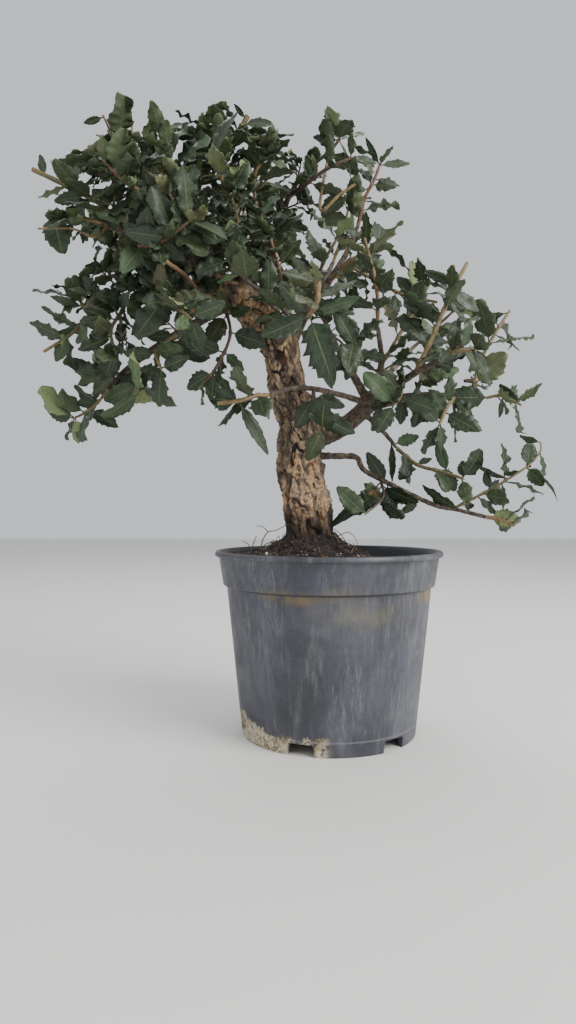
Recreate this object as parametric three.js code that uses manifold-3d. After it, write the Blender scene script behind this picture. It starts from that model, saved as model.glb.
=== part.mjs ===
// A cork oak bonsai in its nursery pot.
// Millimetres, +Z up. The origin is the centre of the pot's base on the surface it stands on.
// The tree is seen from -Y, with its crown reaching out to -X.

import * as THREE from 'three';
import { mergeVertices } from 'three/addons/utils/BufferGeometryUtils.js';
import Module from 'manifold-3d';

const wasm = await Module();
wasm.setup();

// Pot
const POT_HEIGHT = 150;
const RIM_RADIUS = 95;
const LIP_HEIGHT = 4.6;
const LIP_PROUD = 3.4;
const COLLAR_BOTTOM = 123;
const COLLAR_RADIUS_TOP = 91.6;
const COLLAR_RADIUS_BOTTOM = 88.3;
const BODY_RADIUS_TOP = 84.8;
const BASE_RADIUS = 72.6;
const WALL = 1.6;
const COLLAR_STEP = 5;
const PAD_RADIUS = 30;
const CHANNEL_HEIGHT = 6;
const CHANNEL_SLOPE = 4;
const SKIRT_WALL = 2.2;
const NOTCH_COUNT = 6;
const NOTCH_WIDTH = 21;
const NOTCH_HEIGHT = 9.5;
const NOTCH_DEPTH = 12;
const FIRST_NOTCH_DEG = -110;
const POT_SIDES = 32;

// Soil
const SEAT_GAP = 0.3;
const SOIL_LEVEL = 145;
const MOUND_HEIGHT = 14;
const MOUND_SPREAD = 34;
const SOIL_SINK_RIGHT = 8;
const SOIL_LUMP = 1.3;
const SOIL_SIDES = 20;
const SOIL_RINGS = [0, 22, 40, 58, 74];

// Trunk centre line with its radius: [x, y, z, radius]
const TRUNK = [
  [-13, -4, 108, 21],
  [-14, -5, 137, 21],
  [-15, -5, 159, 19],
  [-18, -5, 184, 19],
  [-22, -4, 205, 18.2],
  [-24, -2, 226, 18],
  [-24, 0, 246, 17.2],
  [-26, 2, 264, 17.4],
  [-34, 3, 282, 15.2],
  [-37, 2, 304, 14],
  [-43, 0, 326, 14.8],
  [-56, -2, 344, 15],
  [-72, -4, 357, 13.2],
  [-89, -5, 367, 10.6],
  [-102, -5, 379, 8],
];
const TRUNK_SIDES = 12;
const TRUNK_STEP = 12;
const BARK_RELIEF = 0.075;
// Healed stubs on the bark: [x, y, z, radius]
const SCARS = [
  [13, 0, 249, 3.6],
  [-7, -8, 219, 5],
];

// Limbs: radius at the fork, radius at the end, and the centre line from inside what they fork from
const LIMBS = {
  crown_top_left: [8, 2.4, [-98, -5, 375], [-106, -5, 388], [-122, 0, 413], [-133, 5, 443], [-143, 8, 472]],
  crown_top: [7, 2.3, [-72, -4, 357], [-77, 10, 389], [-85, 20, 423], [-88, 22, 455], [-91, 18, 477]],
  crown_left: [6.5, 2.3, [-92, -5, 369], [-119, -10, 370], [-151, -15, 372], [-178, -15, 362], [-199, -10, 347]],
  left_mid: [4.6, 2.2, [-109, -4, 392], [-134, -20, 397], [-160, -30, 403], [-177, -35, 409]],
  left_low: [5, 2.2, [-77, -5, 359], [-108, 2, 344], [-142, 0, 323], [-168, -5, 302], [-183, -10, 283]],
  back_left: [6, 2.3, [-74, -2, 358], [-98, 36, 393], [-124, 66, 426], [-148, 88, 452]],
  back_mid: [5.2, 2.2, [-58, 0, 346], [-64, 46, 384], [-72, 76, 420], [-82, 98, 450]],
  top_right: [6, 2.2, [-55, -3, 343], [-51, 20, 384], [-46, 35, 425], [-37, 40, 458], [-23, 40, 485]],
  right_up: [5, 2.1, [-41, 0, 320], [-22, 5, 352], [-2, 10, 376], [16, 20, 406], [28, 30, 436]],
  back_right: [5.4, 2.2, [-38, 3, 306], [-23, 42, 350], [-5, 70, 390], [10, 88, 425]],
  front_mid: [4.4, 2.1, [-42, -4, 322], [-36, -40, 327], [-27, -76, 323], [-20, -100, 318]],
  right_main: [9, 7, [-22, 3, 240], [-3, 6, 247], [15, 8, 256], [38, 5, 276]],
  right_far: [5.6, 2, [32, 5, 272], [69, -5, 278], [100, -15, 277], [127, -20, 275]],
  right_inner: [4.4, 2, [35, 5, 273], [20, 0, 300], [7, -10, 318], [-2, -15, 335]],
  right_front: [4.4, 2, [35, 5, 273], [51, -35, 282], [63, -65, 287], [75, -85, 291]],
  right_back: [5.2, 2.1, [15, 8, 258], [40, 42, 286], [66, 68, 318], [88, 84, 342]],
  right_rise: [4, 2, [35, 5, 274], [43, -12, 303], [38, -28, 331]],
  front_low: [3, 1.8, [34, 4, 274], [7, -30, 276], [-25, -60, 276], [-48, -80, 267]],
  low_right: [3, 1.9, [-20, -1, 229], [14, -4, 229], [24, -6, 227], [29, -8, 217], [52, -14, 204],
    [84, -22, 188], [101, -26, 184], [124, -32, 178]],
  low_second: [2.6, 1.7, [29, 6, 268], [48, 0, 248], [57, -6, 235]],
  root_left: [6.5, 2.2, [-16, -5, 133], [-40, -10, 118], [-58, -12, 92]],
  root_right: [6, 2.2, [-10, -3, 131], [16, 2, 116], [40, 8, 84]],
  root_back: [6, 2.2, [-13, -2, 126], [-22, 26, 110], [-30, 50, 70]],
};
const LIMB_SIDES = 5;
const LIMB_STEP = 34;

// Leafy shoots: the limb each grows from, the share of that limb's length where it leaves,
// the share of the shoot left bare at its tip, and the points it passes through
const SHOOTS = {
  left_high: ['left_mid', 0.84, 0.28, [-180, -34, 424], [-208, -28, 442], [-241, -22, 460]],
  left_tip: ['left_mid', 1, 0, [-186, -38, 410], [-196, -38, 412], [-206, -35, 414]],
  left_front: ['left_mid', 0.42, 0, [-147, -58, 384], [-128, -78, 378], [-104, -84, 392]],
  left_face: ['crown_left', 0.55, 0, [-133, -46, 353], [-122, -72, 338], [-104, -82, 322]],
  left_edge: ['crown_left', 1, 0, [-206, -8, 356], [-212, -2, 368]],
  left_drop: ['crown_left', 0.9, 0.35, [-208, -22, 328], [-231, -26, 311]],
  left_under: ['crown_left', 0.72, 0, [-164, -34, 346], [-172, -44, 324], [-168, -46, 306]],
  left_above: ['crown_left', 0.66, 0, [-168, 4, 392], [-184, 14, 414], [-190, 20, 440]],
  low_spray: ['left_low', 1, 0, [-192, -16, 270], [-201, -20, 262], [-208, -22, 258]],
  low_inner: ['left_low', 0.7, 0, [-153, -32, 286], [-147, -56, 273]],
  low_back: ['left_low', 0.84, 0, [-190, 26, 308], [-206, 46, 304]],
  low_mid: ['left_low', 0.4, 0, [-126, -30, 322], [-136, -48, 306], [-130, -58, 290]],
  top_far_left: ['crown_top_left', 1, 0.38, [-166, 2, 478], [-179, -8, 494], [-187, -12, 510]],
  top_left: ['crown_top_left', 0.88, 0.25, [-152, 24, 486], [-166, 22, 514]],
  top_left_back: ['crown_top_left', 0.7, 0, [-156, 40, 478], [-172, 62, 496]],
  top_left_out: ['crown_top_left', 0.78, 0, [-160, -12, 452], [-180, -10, 463], [-196, -4, 474]],
  top_front: ['crown_top_left', 0.42, 0.16, [-113, -28, 428], [-127, -36, 462], [-139, -34, 494]],
  top_face: ['crown_top_left', 0.55, 0, [-142, -34, 430], [-160, -52, 436], [-176, -56, 450]],
  top_stub: ['crown_top', 1, 0.2, [-104, 10, 496], [-107, 6, 522]],
  top_olive: ['crown_top', 0.84, 0.2, [-88, -6, 470], [-79, -12, 488], [-67, -16, 507]],
  top_mid: ['crown_top', 0.68, 0, [-67, 14, 462], [-61, 10, 480], [-55, 8, 496]],
  top_right: ['top_right', 1, 0, [-8, 32, 494], [4, 27, 502], [11, 24, 509]],
  top_right_low: ['top_right', 0.84, 0, [-20, 14, 464], [-2, 2, 472], [20, -4, 479]],
  top_right_in: ['top_right', 0.5, 0, [-58, 4, 432], [-62, -14, 456], [-50, -22, 474]],
  right_high: ['right_up', 1, 0, [33, 22, 456], [41, 18, 471], [46, 16, 484]],
  right_high_back: ['right_up', 0.88, 0, [25, 54, 456], [20, 70, 482]],
  cut_a: ['right_up', 0.52, 0.3, [19, -12, 390], [39, -16, 401], [54, -18, 410]],
  cut_b: ['right_rise', 1, 0.3, [36, -38, 357], [30, -40, 382], [26, -40, 397]],
  cut_c: ['right_up', 0.7, 0.25, [38, 14, 384], [65, 4, 366], [92, 0, 359]],
  cut_d: ['right_front', 0.62, 0.3, [74, -66, 313], [88, -62, 345], [102, -58, 371]],
  cut_e: ['right_rise', 0.5, 0.1, [56, -8, 325], [70, -6, 348], [84, -8, 372]],
  cut_f: ['right_far', 0.36, 0.3, [75, -28, 292], [90, -38, 307], [104, -42, 320]],
  cut_g: ['right_far', 0.86, 0.25, [124, -14, 305], [138, -12, 331], [150, -10, 349]],
  far_tip: ['right_far', 1, 0.15, [140, -24, 276], [154, -26, 268]],
  far_under: ['right_far', 0.7, 0, [91, -36, 263], [83, -50, 250]],
  second_low: ['low_second', 1, 0, [73, -12, 221], [92, -18, 215], [108, -22, 209]],
  low_left_leaf: ['low_right', 0.52, 0, [42, -30, 194], [26, -44, 180]],
  low_riser: ['low_right', 0.84, 0, [117, -28, 194], [136, -32, 205], [156, -34, 218]],
  low_tip: ['low_right', 1, 0.1, [134, -36, 176], [145, -38, 172]],
  front_star: ['front_mid', 1, 0.2, [-14, -108, 327], [-14, -110, 346]],
  front_upper: ['front_mid', 0.55, 0, [-44, -62, 341], [-62, -78, 349], [-78, -84, 364]],
  front_low: ['front_low', 1, 0.3, [-58, -88, 265], [-68, -92, 261], [-84, -92, 259]],
  front_drop: ['front_low', 0.55, 0, [-15, -70, 258], [-8, -80, 242]],
  low_left_front: ['left_low', 0.08, 0.1, [-80, -34, 322], [-91, -44, 293], [-103, -46, 278]],
  heart_front: ['crown_left', 0.1, 0, [-96, -40, 380], [-106, -66, 398], [-122, -76, 416]],
  heart_top: ['crown_top', 0.3, 0, [-74, -24, 408], [-78, -50, 424], [-92, -60, 448]],
  heart_right: ['right_up', 0.14, 0, [-38, -30, 359], [-44, -54, 380], [-54, -62, 404]],
  heart_back: ['crown_left', 0.3, 0, [-128, 30, 392], [-142, 56, 400]],
  inner_front: ['right_inner', 0.55, 0, [18, -48, 306], [15, -74, 309]],
  inner_tip: ['right_inner', 1, 0, [-12, -28, 352], [-8, -46, 372], [4, -54, 392]],
  front_right: ['right_front', 1, 0, [84, -96, 295], [96, -102, 294]],
  front_right_low: ['right_front', 0.42, 0, [51, -60, 270], [43, -80, 260]],
  back_left_out: ['back_left', 1, 0, [-176, 100, 462], [-200, 104, 458]],
  back_left_up: ['back_left', 0.8, 0, [-146, 80, 472], [-152, 82, 504]],
  back_mid_up: ['back_mid', 1, 0, [-80, 106, 474], [-74, 104, 502]],
  back_right_up: ['back_right', 1, 0, [20, 94, 456], [26, 92, 484]],
  back_far_up: ['right_back', 1, 0, [108, 88, 360], [128, 84, 378]],
};
const SHOOT_RADIUS = [1.7, 1.2];
const NODE_HALF = 0.9;
const DENSE_SPACING = 17.6;
const OPEN_SPACING = 26;
const DENSE_LEFT_OF = -55;
const DENSE_ABOVE = 340;
const NODE_TURN = 2.42;
const FIRST_NODE = 10;
const LEAST_NODES = 3;

// Leaves
const LEAF_LENGTH = [24, 39];
const LEAF_ASPECT = [0.5, 0.66];
const LEAF_DROOP = [0.02, 0.2];
const LEAF_CUP = [-0.12, 0.3];
const LEAF_WAVE = [0.6, 1.7];
const RIB_HALF = 0.7;
const RIB_AT = 0.46;
const LEAN = [0.9, 1.2];
const LIFT = 0.1;
const OUTWARD = 0.75;
const UPWARD = 0.55;
const SCATTER = 0.9;
const MOST_TWIST = 0.8;
const LEAF_TRIES = 12;
const RETRY_TURN = 0.83;
const RETRY_SHRINK = 0.97;
const SECOND_SHRINK = 0.9;
const BLADE_CLEAR = 3.4;
const WOOD_CLEAR = 2.6;
const ROOT_CLEAR = 1.8;
const FLOOR_CLEAR = 165;
const SAMPLE_STEP = 3.2;
const SAMPLED_FROM = 0.22;
const SAMPLE_COLUMNS = [-0.9, -0.45, 0, 0.45, 0.9];
const FIRST_SEED = 2003;
const SEED_STEP = 131;
const HEART_LEFT = new THREE.Vector3(-110, 20, 380);
const HEART_RIGHT = new THREE.Vector3(60, 15, 290);
// Half an outline: [share of the length, share of the half width, share of the margin wave]
const HALF_OUTLINE = [
  [0.26, 0.9, 0.7],
  [0.4, 0.8, -0.8],
  [0.57, 1, 0.9],
  [0.78, 0.58, -0.7],
];

const COLOURS = {
  pot: [0x5b5f68, 0.62],
  soil: [0x2a2422, 0.96],
  trunk: [0x6b5444, 0.92],
  shoot: [0x33502f, 0.5],
};

// Repeatable draws from 0 to 1
function randomFrom(seed) {
  const factor = 16807;
  const modulus = 2147483647;
  let state = seed;
  return () => {
    state = (state * factor) % modulus;
    return state / modulus;
  };
}

const mix = (a, b, t) => a + (b - a) * t;

function pathOf(points) {
  const corners = points.map(([x, y, z]) => new THREE.Vector3(x, y, z));
  return new THREE.CatmullRomCurve3(corners, false, 'catmullrom', 0.5);
}

// Length of a path, by straight steps
function lengthOf(curve) {
  const steps = 60;
  let sum = 0;
  let last = curve.getPoint(0);
  for (let i = 1; i <= steps; i++) {
    const next = curve.getPoint(i / steps);
    sum += next.distanceTo(last);
    last = next;
  }
  return sum;
}

function tangentAt(curve, t) {
  const reach = 0.01;
  const ahead = curve.getPoint(Math.min(1, t + reach));
  const behind = curve.getPoint(Math.max(0, t - reach));
  return ahead.sub(behind).normalize();
}

function acrossOf(tangent) {
  const side = new THREE.Vector3().crossVectors(tangent, new THREE.Vector3(0, 0, 1));
  if (side.length() < 0.2) {
    side.crossVectors(tangent, new THREE.Vector3(0, 1, 0));
  }
  return side.normalize();
}

function geometryFrom(positions, index) {
  const geometry = new THREE.BufferGeometry();
  geometry.setAttribute('position', new THREE.Float32BufferAttribute(positions, 3));
  geometry.setIndex(index);
  return geometry;
}

// A closed tube along a path, its ends flat, grown on all sides by `grow`
function tube({ curve, radiusAt, sides, rings, relief = () => 1, grow = 0 }) {
  const positions = [];
  const index = [];
  let side = acrossOf(tangentAt(curve, 0));
  for (let i = 0; i <= rings; i++) {
    const t = i / rings;
    const tangent = tangentAt(curve, t);
    side = side.sub(tangent.clone().multiplyScalar(side.dot(tangent))).normalize();
    const up = new THREE.Vector3().crossVectors(side, tangent);
    const push = i === 0 ? -grow : i === rings ? grow : 0;
    const centre = curve.getPoint(t).addScaledVector(tangent, push);
    for (let j = 0; j < sides; j++) {
      const angle = (2 * Math.PI * j) / sides;
      const radius = radiusAt(t) * relief(angle, t) + grow;
      const corner = centre.clone();
      corner.addScaledVector(side, radius * Math.cos(angle));
      corner.addScaledVector(up, radius * Math.sin(angle));
      positions.push(corner.x, corner.y, corner.z);
    }
  }
  for (let i = 0; i < rings; i++) {
    for (let j = 0; j < sides; j++) {
      const a = i * sides + j;
      const b = i * sides + ((j + 1) % sides);
      index.push(a, a + sides, b, b, a + sides, b + sides);
    }
  }
  const last = rings * sides;
  for (let j = 1; j < sides - 1; j++) {
    index.push(0, j, j + 1);
    index.push(last, last + j + 1, last + j);
  }
  return geometryFrom(positions, index);
}

// Signed volume of an indexed mesh, which is negative where its faces point in
function volumeOf(position, index) {
  let sum = 0;
  const corner = (i) => new THREE.Vector3().fromBufferAttribute(position, index[i]);
  for (let i = 0; i < index.length; i += 3) {
    sum += corner(i).dot(corner(i + 1).cross(corner(i + 2)));
  }
  return sum / 6;
}

function solidOf(geometry) {
  const bare = geometry.clone();
  bare.deleteAttribute('normal');
  bare.deleteAttribute('uv');
  const merged = mergeVertices(bare, 1e-4);
  const all = Array.from(merged.index.array);
  const triangles = [];
  for (let i = 0; i < all.length; i += 3) {
    const [a, b, c] = [all[i], all[i + 1], all[i + 2]];
    if (a !== b && b !== c && c !== a) {
      triangles.push(a, b, c);
    }
  }
  if (volumeOf(merged.attributes.position, triangles) < 0) {
    triangles.reverse();
  }
  return new wasm.Manifold(new wasm.Mesh({
    numProp: 3,
    vertProperties: new Float32Array(merged.attributes.position.array),
    triVerts: new Uint32Array(triangles),
  }));
}

function geometryOf(solid) {
  const mesh = solid.getMesh();
  const geometry = geometryFrom(Array.from(mesh.vertProperties), Array.from(mesh.triVerts));
  geometry.computeVertexNormals();
  return geometry;
}

// The largest of the bodies that a cut leaves
function largestOf(solid) {
  const bodies = solid.decompose();
  return bodies.reduce((best, body) => (body.volume() > best.volume() ? body : best));
}

function lathe(profile, sides) {
  const points = profile.map(([radius, z]) => new THREE.Vector2(radius, z));
  return solidOf(new THREE.LatheGeometry(points, sides).rotateX(Math.PI / 2));
}

// Pot
const CHANNEL_OUTER = BASE_RADIUS - SKIRT_WALL - 2.6;
const FLOOR_TOP = CHANNEL_HEIGHT + WALL;

function innerWall(z) {
  return mix(BASE_RADIUS - 1.4, BODY_RADIUS_TOP - 1.7, (z - FLOOR_TOP) / (COLLAR_BOTTOM - COLLAR_STEP - FLOOR_TOP));
}

function potSolid() {
  const lipBottom = POT_HEIGHT - LIP_HEIGHT;
  const outside = [
    [0, 0],
    [PAD_RADIUS, 0],
    [PAD_RADIUS + CHANNEL_SLOPE, CHANNEL_HEIGHT],
    [CHANNEL_OUTER, CHANNEL_HEIGHT],
    [BASE_RADIUS - SKIRT_WALL, 0],
    [BASE_RADIUS, 0],
    [BODY_RADIUS_TOP, COLLAR_BOTTOM - COLLAR_STEP],
    [BODY_RADIUS_TOP + 2, COLLAR_BOTTOM - 2.4],
    [COLLAR_RADIUS_BOTTOM, COLLAR_BOTTOM],
    [COLLAR_RADIUS_TOP, lipBottom],
    [RIM_RADIUS - 0.6, lipBottom + 0.5],
    [RIM_RADIUS, lipBottom + 2.4],
    [RIM_RADIUS - 1.2, POT_HEIGHT],
  ];
  const inside = [
    [RIM_RADIUS - LIP_PROUD - 0.4, POT_HEIGHT],
    [COLLAR_RADIUS_TOP - WALL - 0.4, lipBottom],
    [COLLAR_RADIUS_BOTTOM - WALL, COLLAR_BOTTOM - 0.5],
    [innerWall(COLLAR_BOTTOM - COLLAR_STEP), COLLAR_BOTTOM - COLLAR_STEP],
    [innerWall(FLOOR_TOP), FLOOR_TOP],
    [PAD_RADIUS + CHANNEL_SLOPE - 1, FLOOR_TOP],
    [PAD_RADIUS - 1, WALL],
    [0, WALL],
  ];
  let pot = lathe([...outside, ...inside], POT_SIDES);
  for (let i = 0; i < NOTCH_COUNT; i++) {
    const box = new THREE.BoxGeometry(NOTCH_DEPTH, NOTCH_WIDTH, NOTCH_HEIGHT + 1);
    box.translate(BASE_RADIUS + 1 - NOTCH_DEPTH / 2, 0, (NOTCH_HEIGHT - 1) / 2);
    box.rotateZ(THREE.MathUtils.degToRad(FIRST_NOTCH_DEG + (360 / NOTCH_COUNT) * i));
    pot = pot.subtract(solidOf(box));
  }
  return pot;
}

// Height of the soil: a mound round the trunk, lower to the right, with lumps
function soilHeight(x, y) {
  const [trunkX, trunkY] = TRUNK[1];
  const away = Math.hypot(x - trunkX, y - trunkY);
  const mound = MOUND_HEIGHT * Math.exp(-((away / MOUND_SPREAD) ** 2));
  const sink = SOIL_SINK_RIGHT * THREE.MathUtils.smoothstep(x + 0.4 * y, -5, 70);
  const lumps = SOIL_LUMP * (Math.sin(0.19 * x + 1.3) * Math.cos(0.23 * y) + 0.6 * Math.sin(0.31 * y - 0.2 * x));
  return SOIL_LEVEL + mound - sink + lumps;
}

function soilSolid(trunkRoom) {
  const positions = [];
  const index = [];
  const bottom = FLOOR_TOP + SEAT_GAP;
  const ring = (radius, height) => {
    for (let j = 0; j < SOIL_SIDES; j++) {
      const angle = (2 * Math.PI * j) / SOIL_SIDES;
      const [x, y] = [radius * Math.cos(angle), radius * Math.sin(angle)];
      positions.push(x, y, height(x, y));
    }
  };
  // The inscribed ring of the soil stays inside the pot's own flats
  const room = (z) => innerWall(z) * Math.cos(Math.PI / POT_SIDES) - SEAT_GAP;
  positions.push(0, 0, soilHeight(0, 0));
  SOIL_RINGS.slice(1).forEach((radius) => ring(radius, soilHeight));
  const brim = COLLAR_BOTTOM - COLLAR_STEP;
  ring(COLLAR_RADIUS_BOTTOM - WALL - SEAT_GAP - 1, soilHeight);
  ring(COLLAR_RADIUS_BOTTOM - WALL - SEAT_GAP - 1, () => COLLAR_BOTTOM);
  ring(room(brim), () => brim);
  ring(room(bottom), () => bottom);
  const rings = SOIL_RINGS.length + 3;
  positions.push(0, 0, bottom);
  for (let j = 0; j < SOIL_SIDES; j++) {
    const next = (j + 1) % SOIL_SIDES;
    index.push(0, 1 + j, 1 + next);
    for (let i = 0; i < rings - 1; i++) {
      const a = 1 + i * SOIL_SIDES;
      index.push(a + j, a + SOIL_SIDES + j, a + next);
      index.push(a + next, a + SOIL_SIDES + j, a + SOIL_SIDES + next);
    }
    const last = 1 + (rings - 1) * SOIL_SIDES;
    index.push(last + j, last + SOIL_SIDES, last + next);
  }
  return largestOf(solidOf(geometryFrom(positions, index)).subtract(trunkRoom));
}

// Trunk and limbs
const trunkCurve = pathOf(TRUNK);
const trunkRadii = pathOf(TRUNK.map(([, , , radius]) => [radius, 0, 0]));

// Long plates of cork: ridges along the trunk that wander and break up
function barkRelief(angle, t) {
  const wander = 1.7 * Math.sin(21 * t) + 0.8 * Math.sin(47 * t + 1);
  const plates = Math.sin(5 * angle + wander) + 0.7 * Math.sin(3 * angle - 31 * t);
  return 1 + BARK_RELIEF * (0.6 * plates + 0.5 * Math.sin(64 * t + 2 * angle));
}

const limbCurves = {};
for (const [name, [, , ...points]] of Object.entries(LIMBS)) {
  limbCurves[name] = pathOf(points);
}

function limbRadius(name, t) {
  const [thick, thin] = LIMBS[name];
  return mix(thick, thin, Math.pow(t, 0.8));
}

function woodSolid(grow) {
  let wood = solidOf(tube({
    curve: trunkCurve,
    radiusAt: (t) => trunkRadii.getPoint(t).x,
    sides: TRUNK_SIDES,
    rings: Math.round(lengthOf(trunkCurve) / TRUNK_STEP),
    relief: barkRelief,
    grow,
  }));
  for (const [name, curve] of Object.entries(limbCurves)) {
    wood = wood.add(solidOf(tube({
      curve,
      radiusAt: (t) => limbRadius(name, t),
      sides: LIMB_SIDES,
      rings: Math.max(3, Math.round(lengthOf(curve) / LIMB_STEP)),
      grow,
    })));
  }
  for (const [x, y, z, radius] of SCARS) {
    wood = wood.add(solidOf(new THREE.IcosahedronGeometry(radius + grow, 0).translate(x, y, z)));
  }
  return wood;
}

// Shoots and their leaves
function shootCurve(name) {
  const [limb, share, , ...points] = SHOOTS[name];
  const seat = limbCurves[limb].getPoint(share);
  return pathOf([seat.toArray(), ...points]);
}

function shootRadius(t) {
  return mix(SHOOT_RADIUS[0], SHOOT_RADIUS[1], t);
}

// A direction square to the line from a shoot's start to its tip, from which turns are counted
function turnZero(curve) {
  return acrossOf(curve.getPoint(1).sub(curve.getPoint(0)).normalize());
}

// Where the shoot is at share t, which way it runs, and the way out of it at a turn
function stationOf(curve, zero, t) {
  const tangent = tangentAt(curve, t);
  const side = zero.clone().addScaledVector(tangent, -zero.dot(tangent)).normalize();
  const up = new THREE.Vector3().crossVectors(tangent, side);
  const out = (turn) => side.clone().multiplyScalar(Math.cos(turn)).addScaledVector(up, Math.sin(turn));
  return { at: curve.getPoint(t), tangent, out };
}

// The heart of the crown that a leaf turns away from: it moves from the left mass to the right one
function heartNear(point) {
  const share = THREE.MathUtils.clamp((point.x - HEART_LEFT.x) / (HEART_RIGHT.x - HEART_LEFT.x), 0, 1);
  return HEART_LEFT.clone().lerp(HEART_RIGHT, share);
}

// A point of the blade: a share of its length along the rib, and of its half width across
function bladePoint(leaf, along, across, wave = 0) {
  const rise = leaf.cup * leaf.half * across * across - leaf.droop * leaf.length * along * along;
  return leaf.base.clone()
    .addScaledVector(leaf.direction, along * leaf.length)
    .addScaledVector(leaf.across, across * leaf.half)
    .addScaledVector(leaf.normal, rise + wave * leaf.wave);
}

function bladeHalf(along) {
  return Math.min(1, along / 0.24) * Math.min(1, (1 - along) / 0.34);
}

function bladeSamples(leaf) {
  const samples = [];
  const rows = Math.ceil((leaf.length * (1 - SAMPLED_FROM)) / SAMPLE_STEP);
  for (let i = 0; i <= rows; i++) {
    const along = mix(SAMPLED_FROM, 1, i / rows);
    for (const column of SAMPLE_COLUMNS) {
      samples.push(bladePoint(leaf, along, column * bladeHalf(along)));
    }
  }
  return samples;
}

// What a new leaf keeps clear of: wood as points with a radius, and the blades placed so far
const wood = [];
const blades = [];

function addWood(curve, radiusAt, owner) {
  const steps = Math.ceil(lengthOf(curve) / SAMPLE_STEP);
  for (let i = 0; i <= steps; i++) {
    const t = i / steps;
    wood.push({ at: curve.getPoint(t), radius: radiusAt(t), owner });
  }
}

function isClear(leaf, samples, owner, out) {
  const low = samples.some((sample) => sample.z < FLOOR_CLEAR);
  const behind = HALF_OUTLINE.some(([along, across]) => [1, -1].some((way) => {
    const corner = bladePoint(leaf, along, way * across);
    return corner.sub(leaf.base).dot(out) < ROOT_CLEAR;
  }));
  if (low || behind) {
    return false;
  }
  const middle = bladePoint(leaf, 0.5, 0);
  for (const piece of wood) {
    const reach = piece.radius + (piece.owner === owner ? ROOT_CLEAR : WOOD_CLEAR);
    if (piece.at.distanceTo(middle) > leaf.length + reach) {
      continue;
    }
    if (samples.some((sample) => sample.distanceTo(piece.at) < reach)) {
      return false;
    }
  }
  for (const other of blades) {
    if (other.middle.distanceTo(middle) > (leaf.length + other.length) / 2 + BLADE_CLEAR + 4) {
      continue;
    }
    if (samples.some((sample) => other.samples.some((point) => point.distanceTo(sample) < BLADE_CLEAR))) {
      return false;
    }
  }
  return true;
}

// The upper face's direction: towards the light, as far as the leaf stalk can twist
function faceOf(direction, tangent, light) {
  const natural = tangent.clone().addScaledVector(direction, -tangent.dot(direction)).normalize();
  const across = new THREE.Vector3().crossVectors(natural, direction);
  const twist = Math.atan2(light.dot(across), light.dot(natural));
  const held = THREE.MathUtils.clamp(twist, -MOST_TWIST, MOST_TWIST);
  return natural.multiplyScalar(Math.cos(held)).addScaledVector(across, Math.sin(held));
}

// The draws of one leaf, always the same number of them
function leafTraits(random) {
  return {
    length: mix(...LEAF_LENGTH, random()),
    aspect: mix(...LEAF_ASPECT, random()),
    lean: mix(...LEAN, random()),
    scatter: new THREE.Vector3(random() - 0.5, random() - 0.5, random() - 0.5),
    droop: mix(...LEAF_DROOP, random()),
    cup: mix(...LEAF_CUP, random()),
    wave: mix(...LEAF_WAVE, random()),
  };
}

// A leaf at a station and a turn, or null where it would touch something
function leafAt(station, turn, radius, traits, shrink, owner) {
  const out = station.out(turn);
  const base = station.at.clone().addScaledVector(out, radius / 2);
  const direction = station.tangent.clone().multiplyScalar(Math.cos(traits.lean))
    .addScaledVector(out, Math.sin(traits.lean));
  direction.z += LIFT;
  direction.normalize();
  const light = base.clone().sub(heartNear(base)).normalize().multiplyScalar(OUTWARD);
  light.addScaledVector(traits.scatter, SCATTER);
  light.z += UPWARD;
  const normal = faceOf(direction, station.tangent, light);
  const across = new THREE.Vector3().crossVectors(normal, direction);
  const length = traits.length * shrink;
  const leaf = { ...traits, base, direction, normal, across, length, half: (length * traits.aspect) / 2 };
  const samples = bladeSamples(leaf);
  if (!isClear(leaf, samples, owner, out)) {
    return null;
  }
  blades.push({ middle: bladePoint(leaf, 0.5, 0), length, samples });
  return leaf;
}

// The nodes of a shoot: where each is, its turn, and the leaves on its three sides
function nodesOf(name, order) {
  const curve = shootCurve(name);
  const zero = turnZero(curve);
  const random = randomFrom(FIRST_SEED + SEED_STEP * order);
  const length = lengthOf(curve);
  const middle = curve.getPoint(0.5);
  const dense = middle.x < DENSE_LEFT_OF && middle.z > DENSE_ABOVE;
  const count = Math.max(LEAST_NODES, Math.round(length / (dense ? DENSE_SPACING : OPEN_SPACING)) + 1);
  const start = 2 * Math.PI * random();
  const nodes = [];
  for (let i = 0; i < count; i++) {
    const t = mix(FIRST_NODE / length, 1 - SHOOTS[name][2] - NODE_HALF / length, i / (count - 1));
    const station = stationOf(curve, zero, t);
    const first = leafTraits(random);
    const second = leafTraits(random);
    const leaves = [null, null, null];
    let turn = start + i * NODE_TURN;
    for (let attempt = 0; attempt < LEAF_TRIES && !leaves[0]; attempt++) {
      turn += attempt ? RETRY_TURN : 0;
      leaves[0] = leafAt(station, turn, shootRadius(t), first, RETRY_SHRINK ** attempt, name);
    }
    for (let face = 1; face < leaves.length && !leaves[1]; face++) {
      const angle = turn + (2 * Math.PI * face) / leaves.length;
      leaves[face] = leafAt(station, angle, shootRadius(t), second, SECOND_SHRINK, name);
    }
    nodes.push({ t, turn, leaves });
  }
  return nodes;
}

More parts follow.
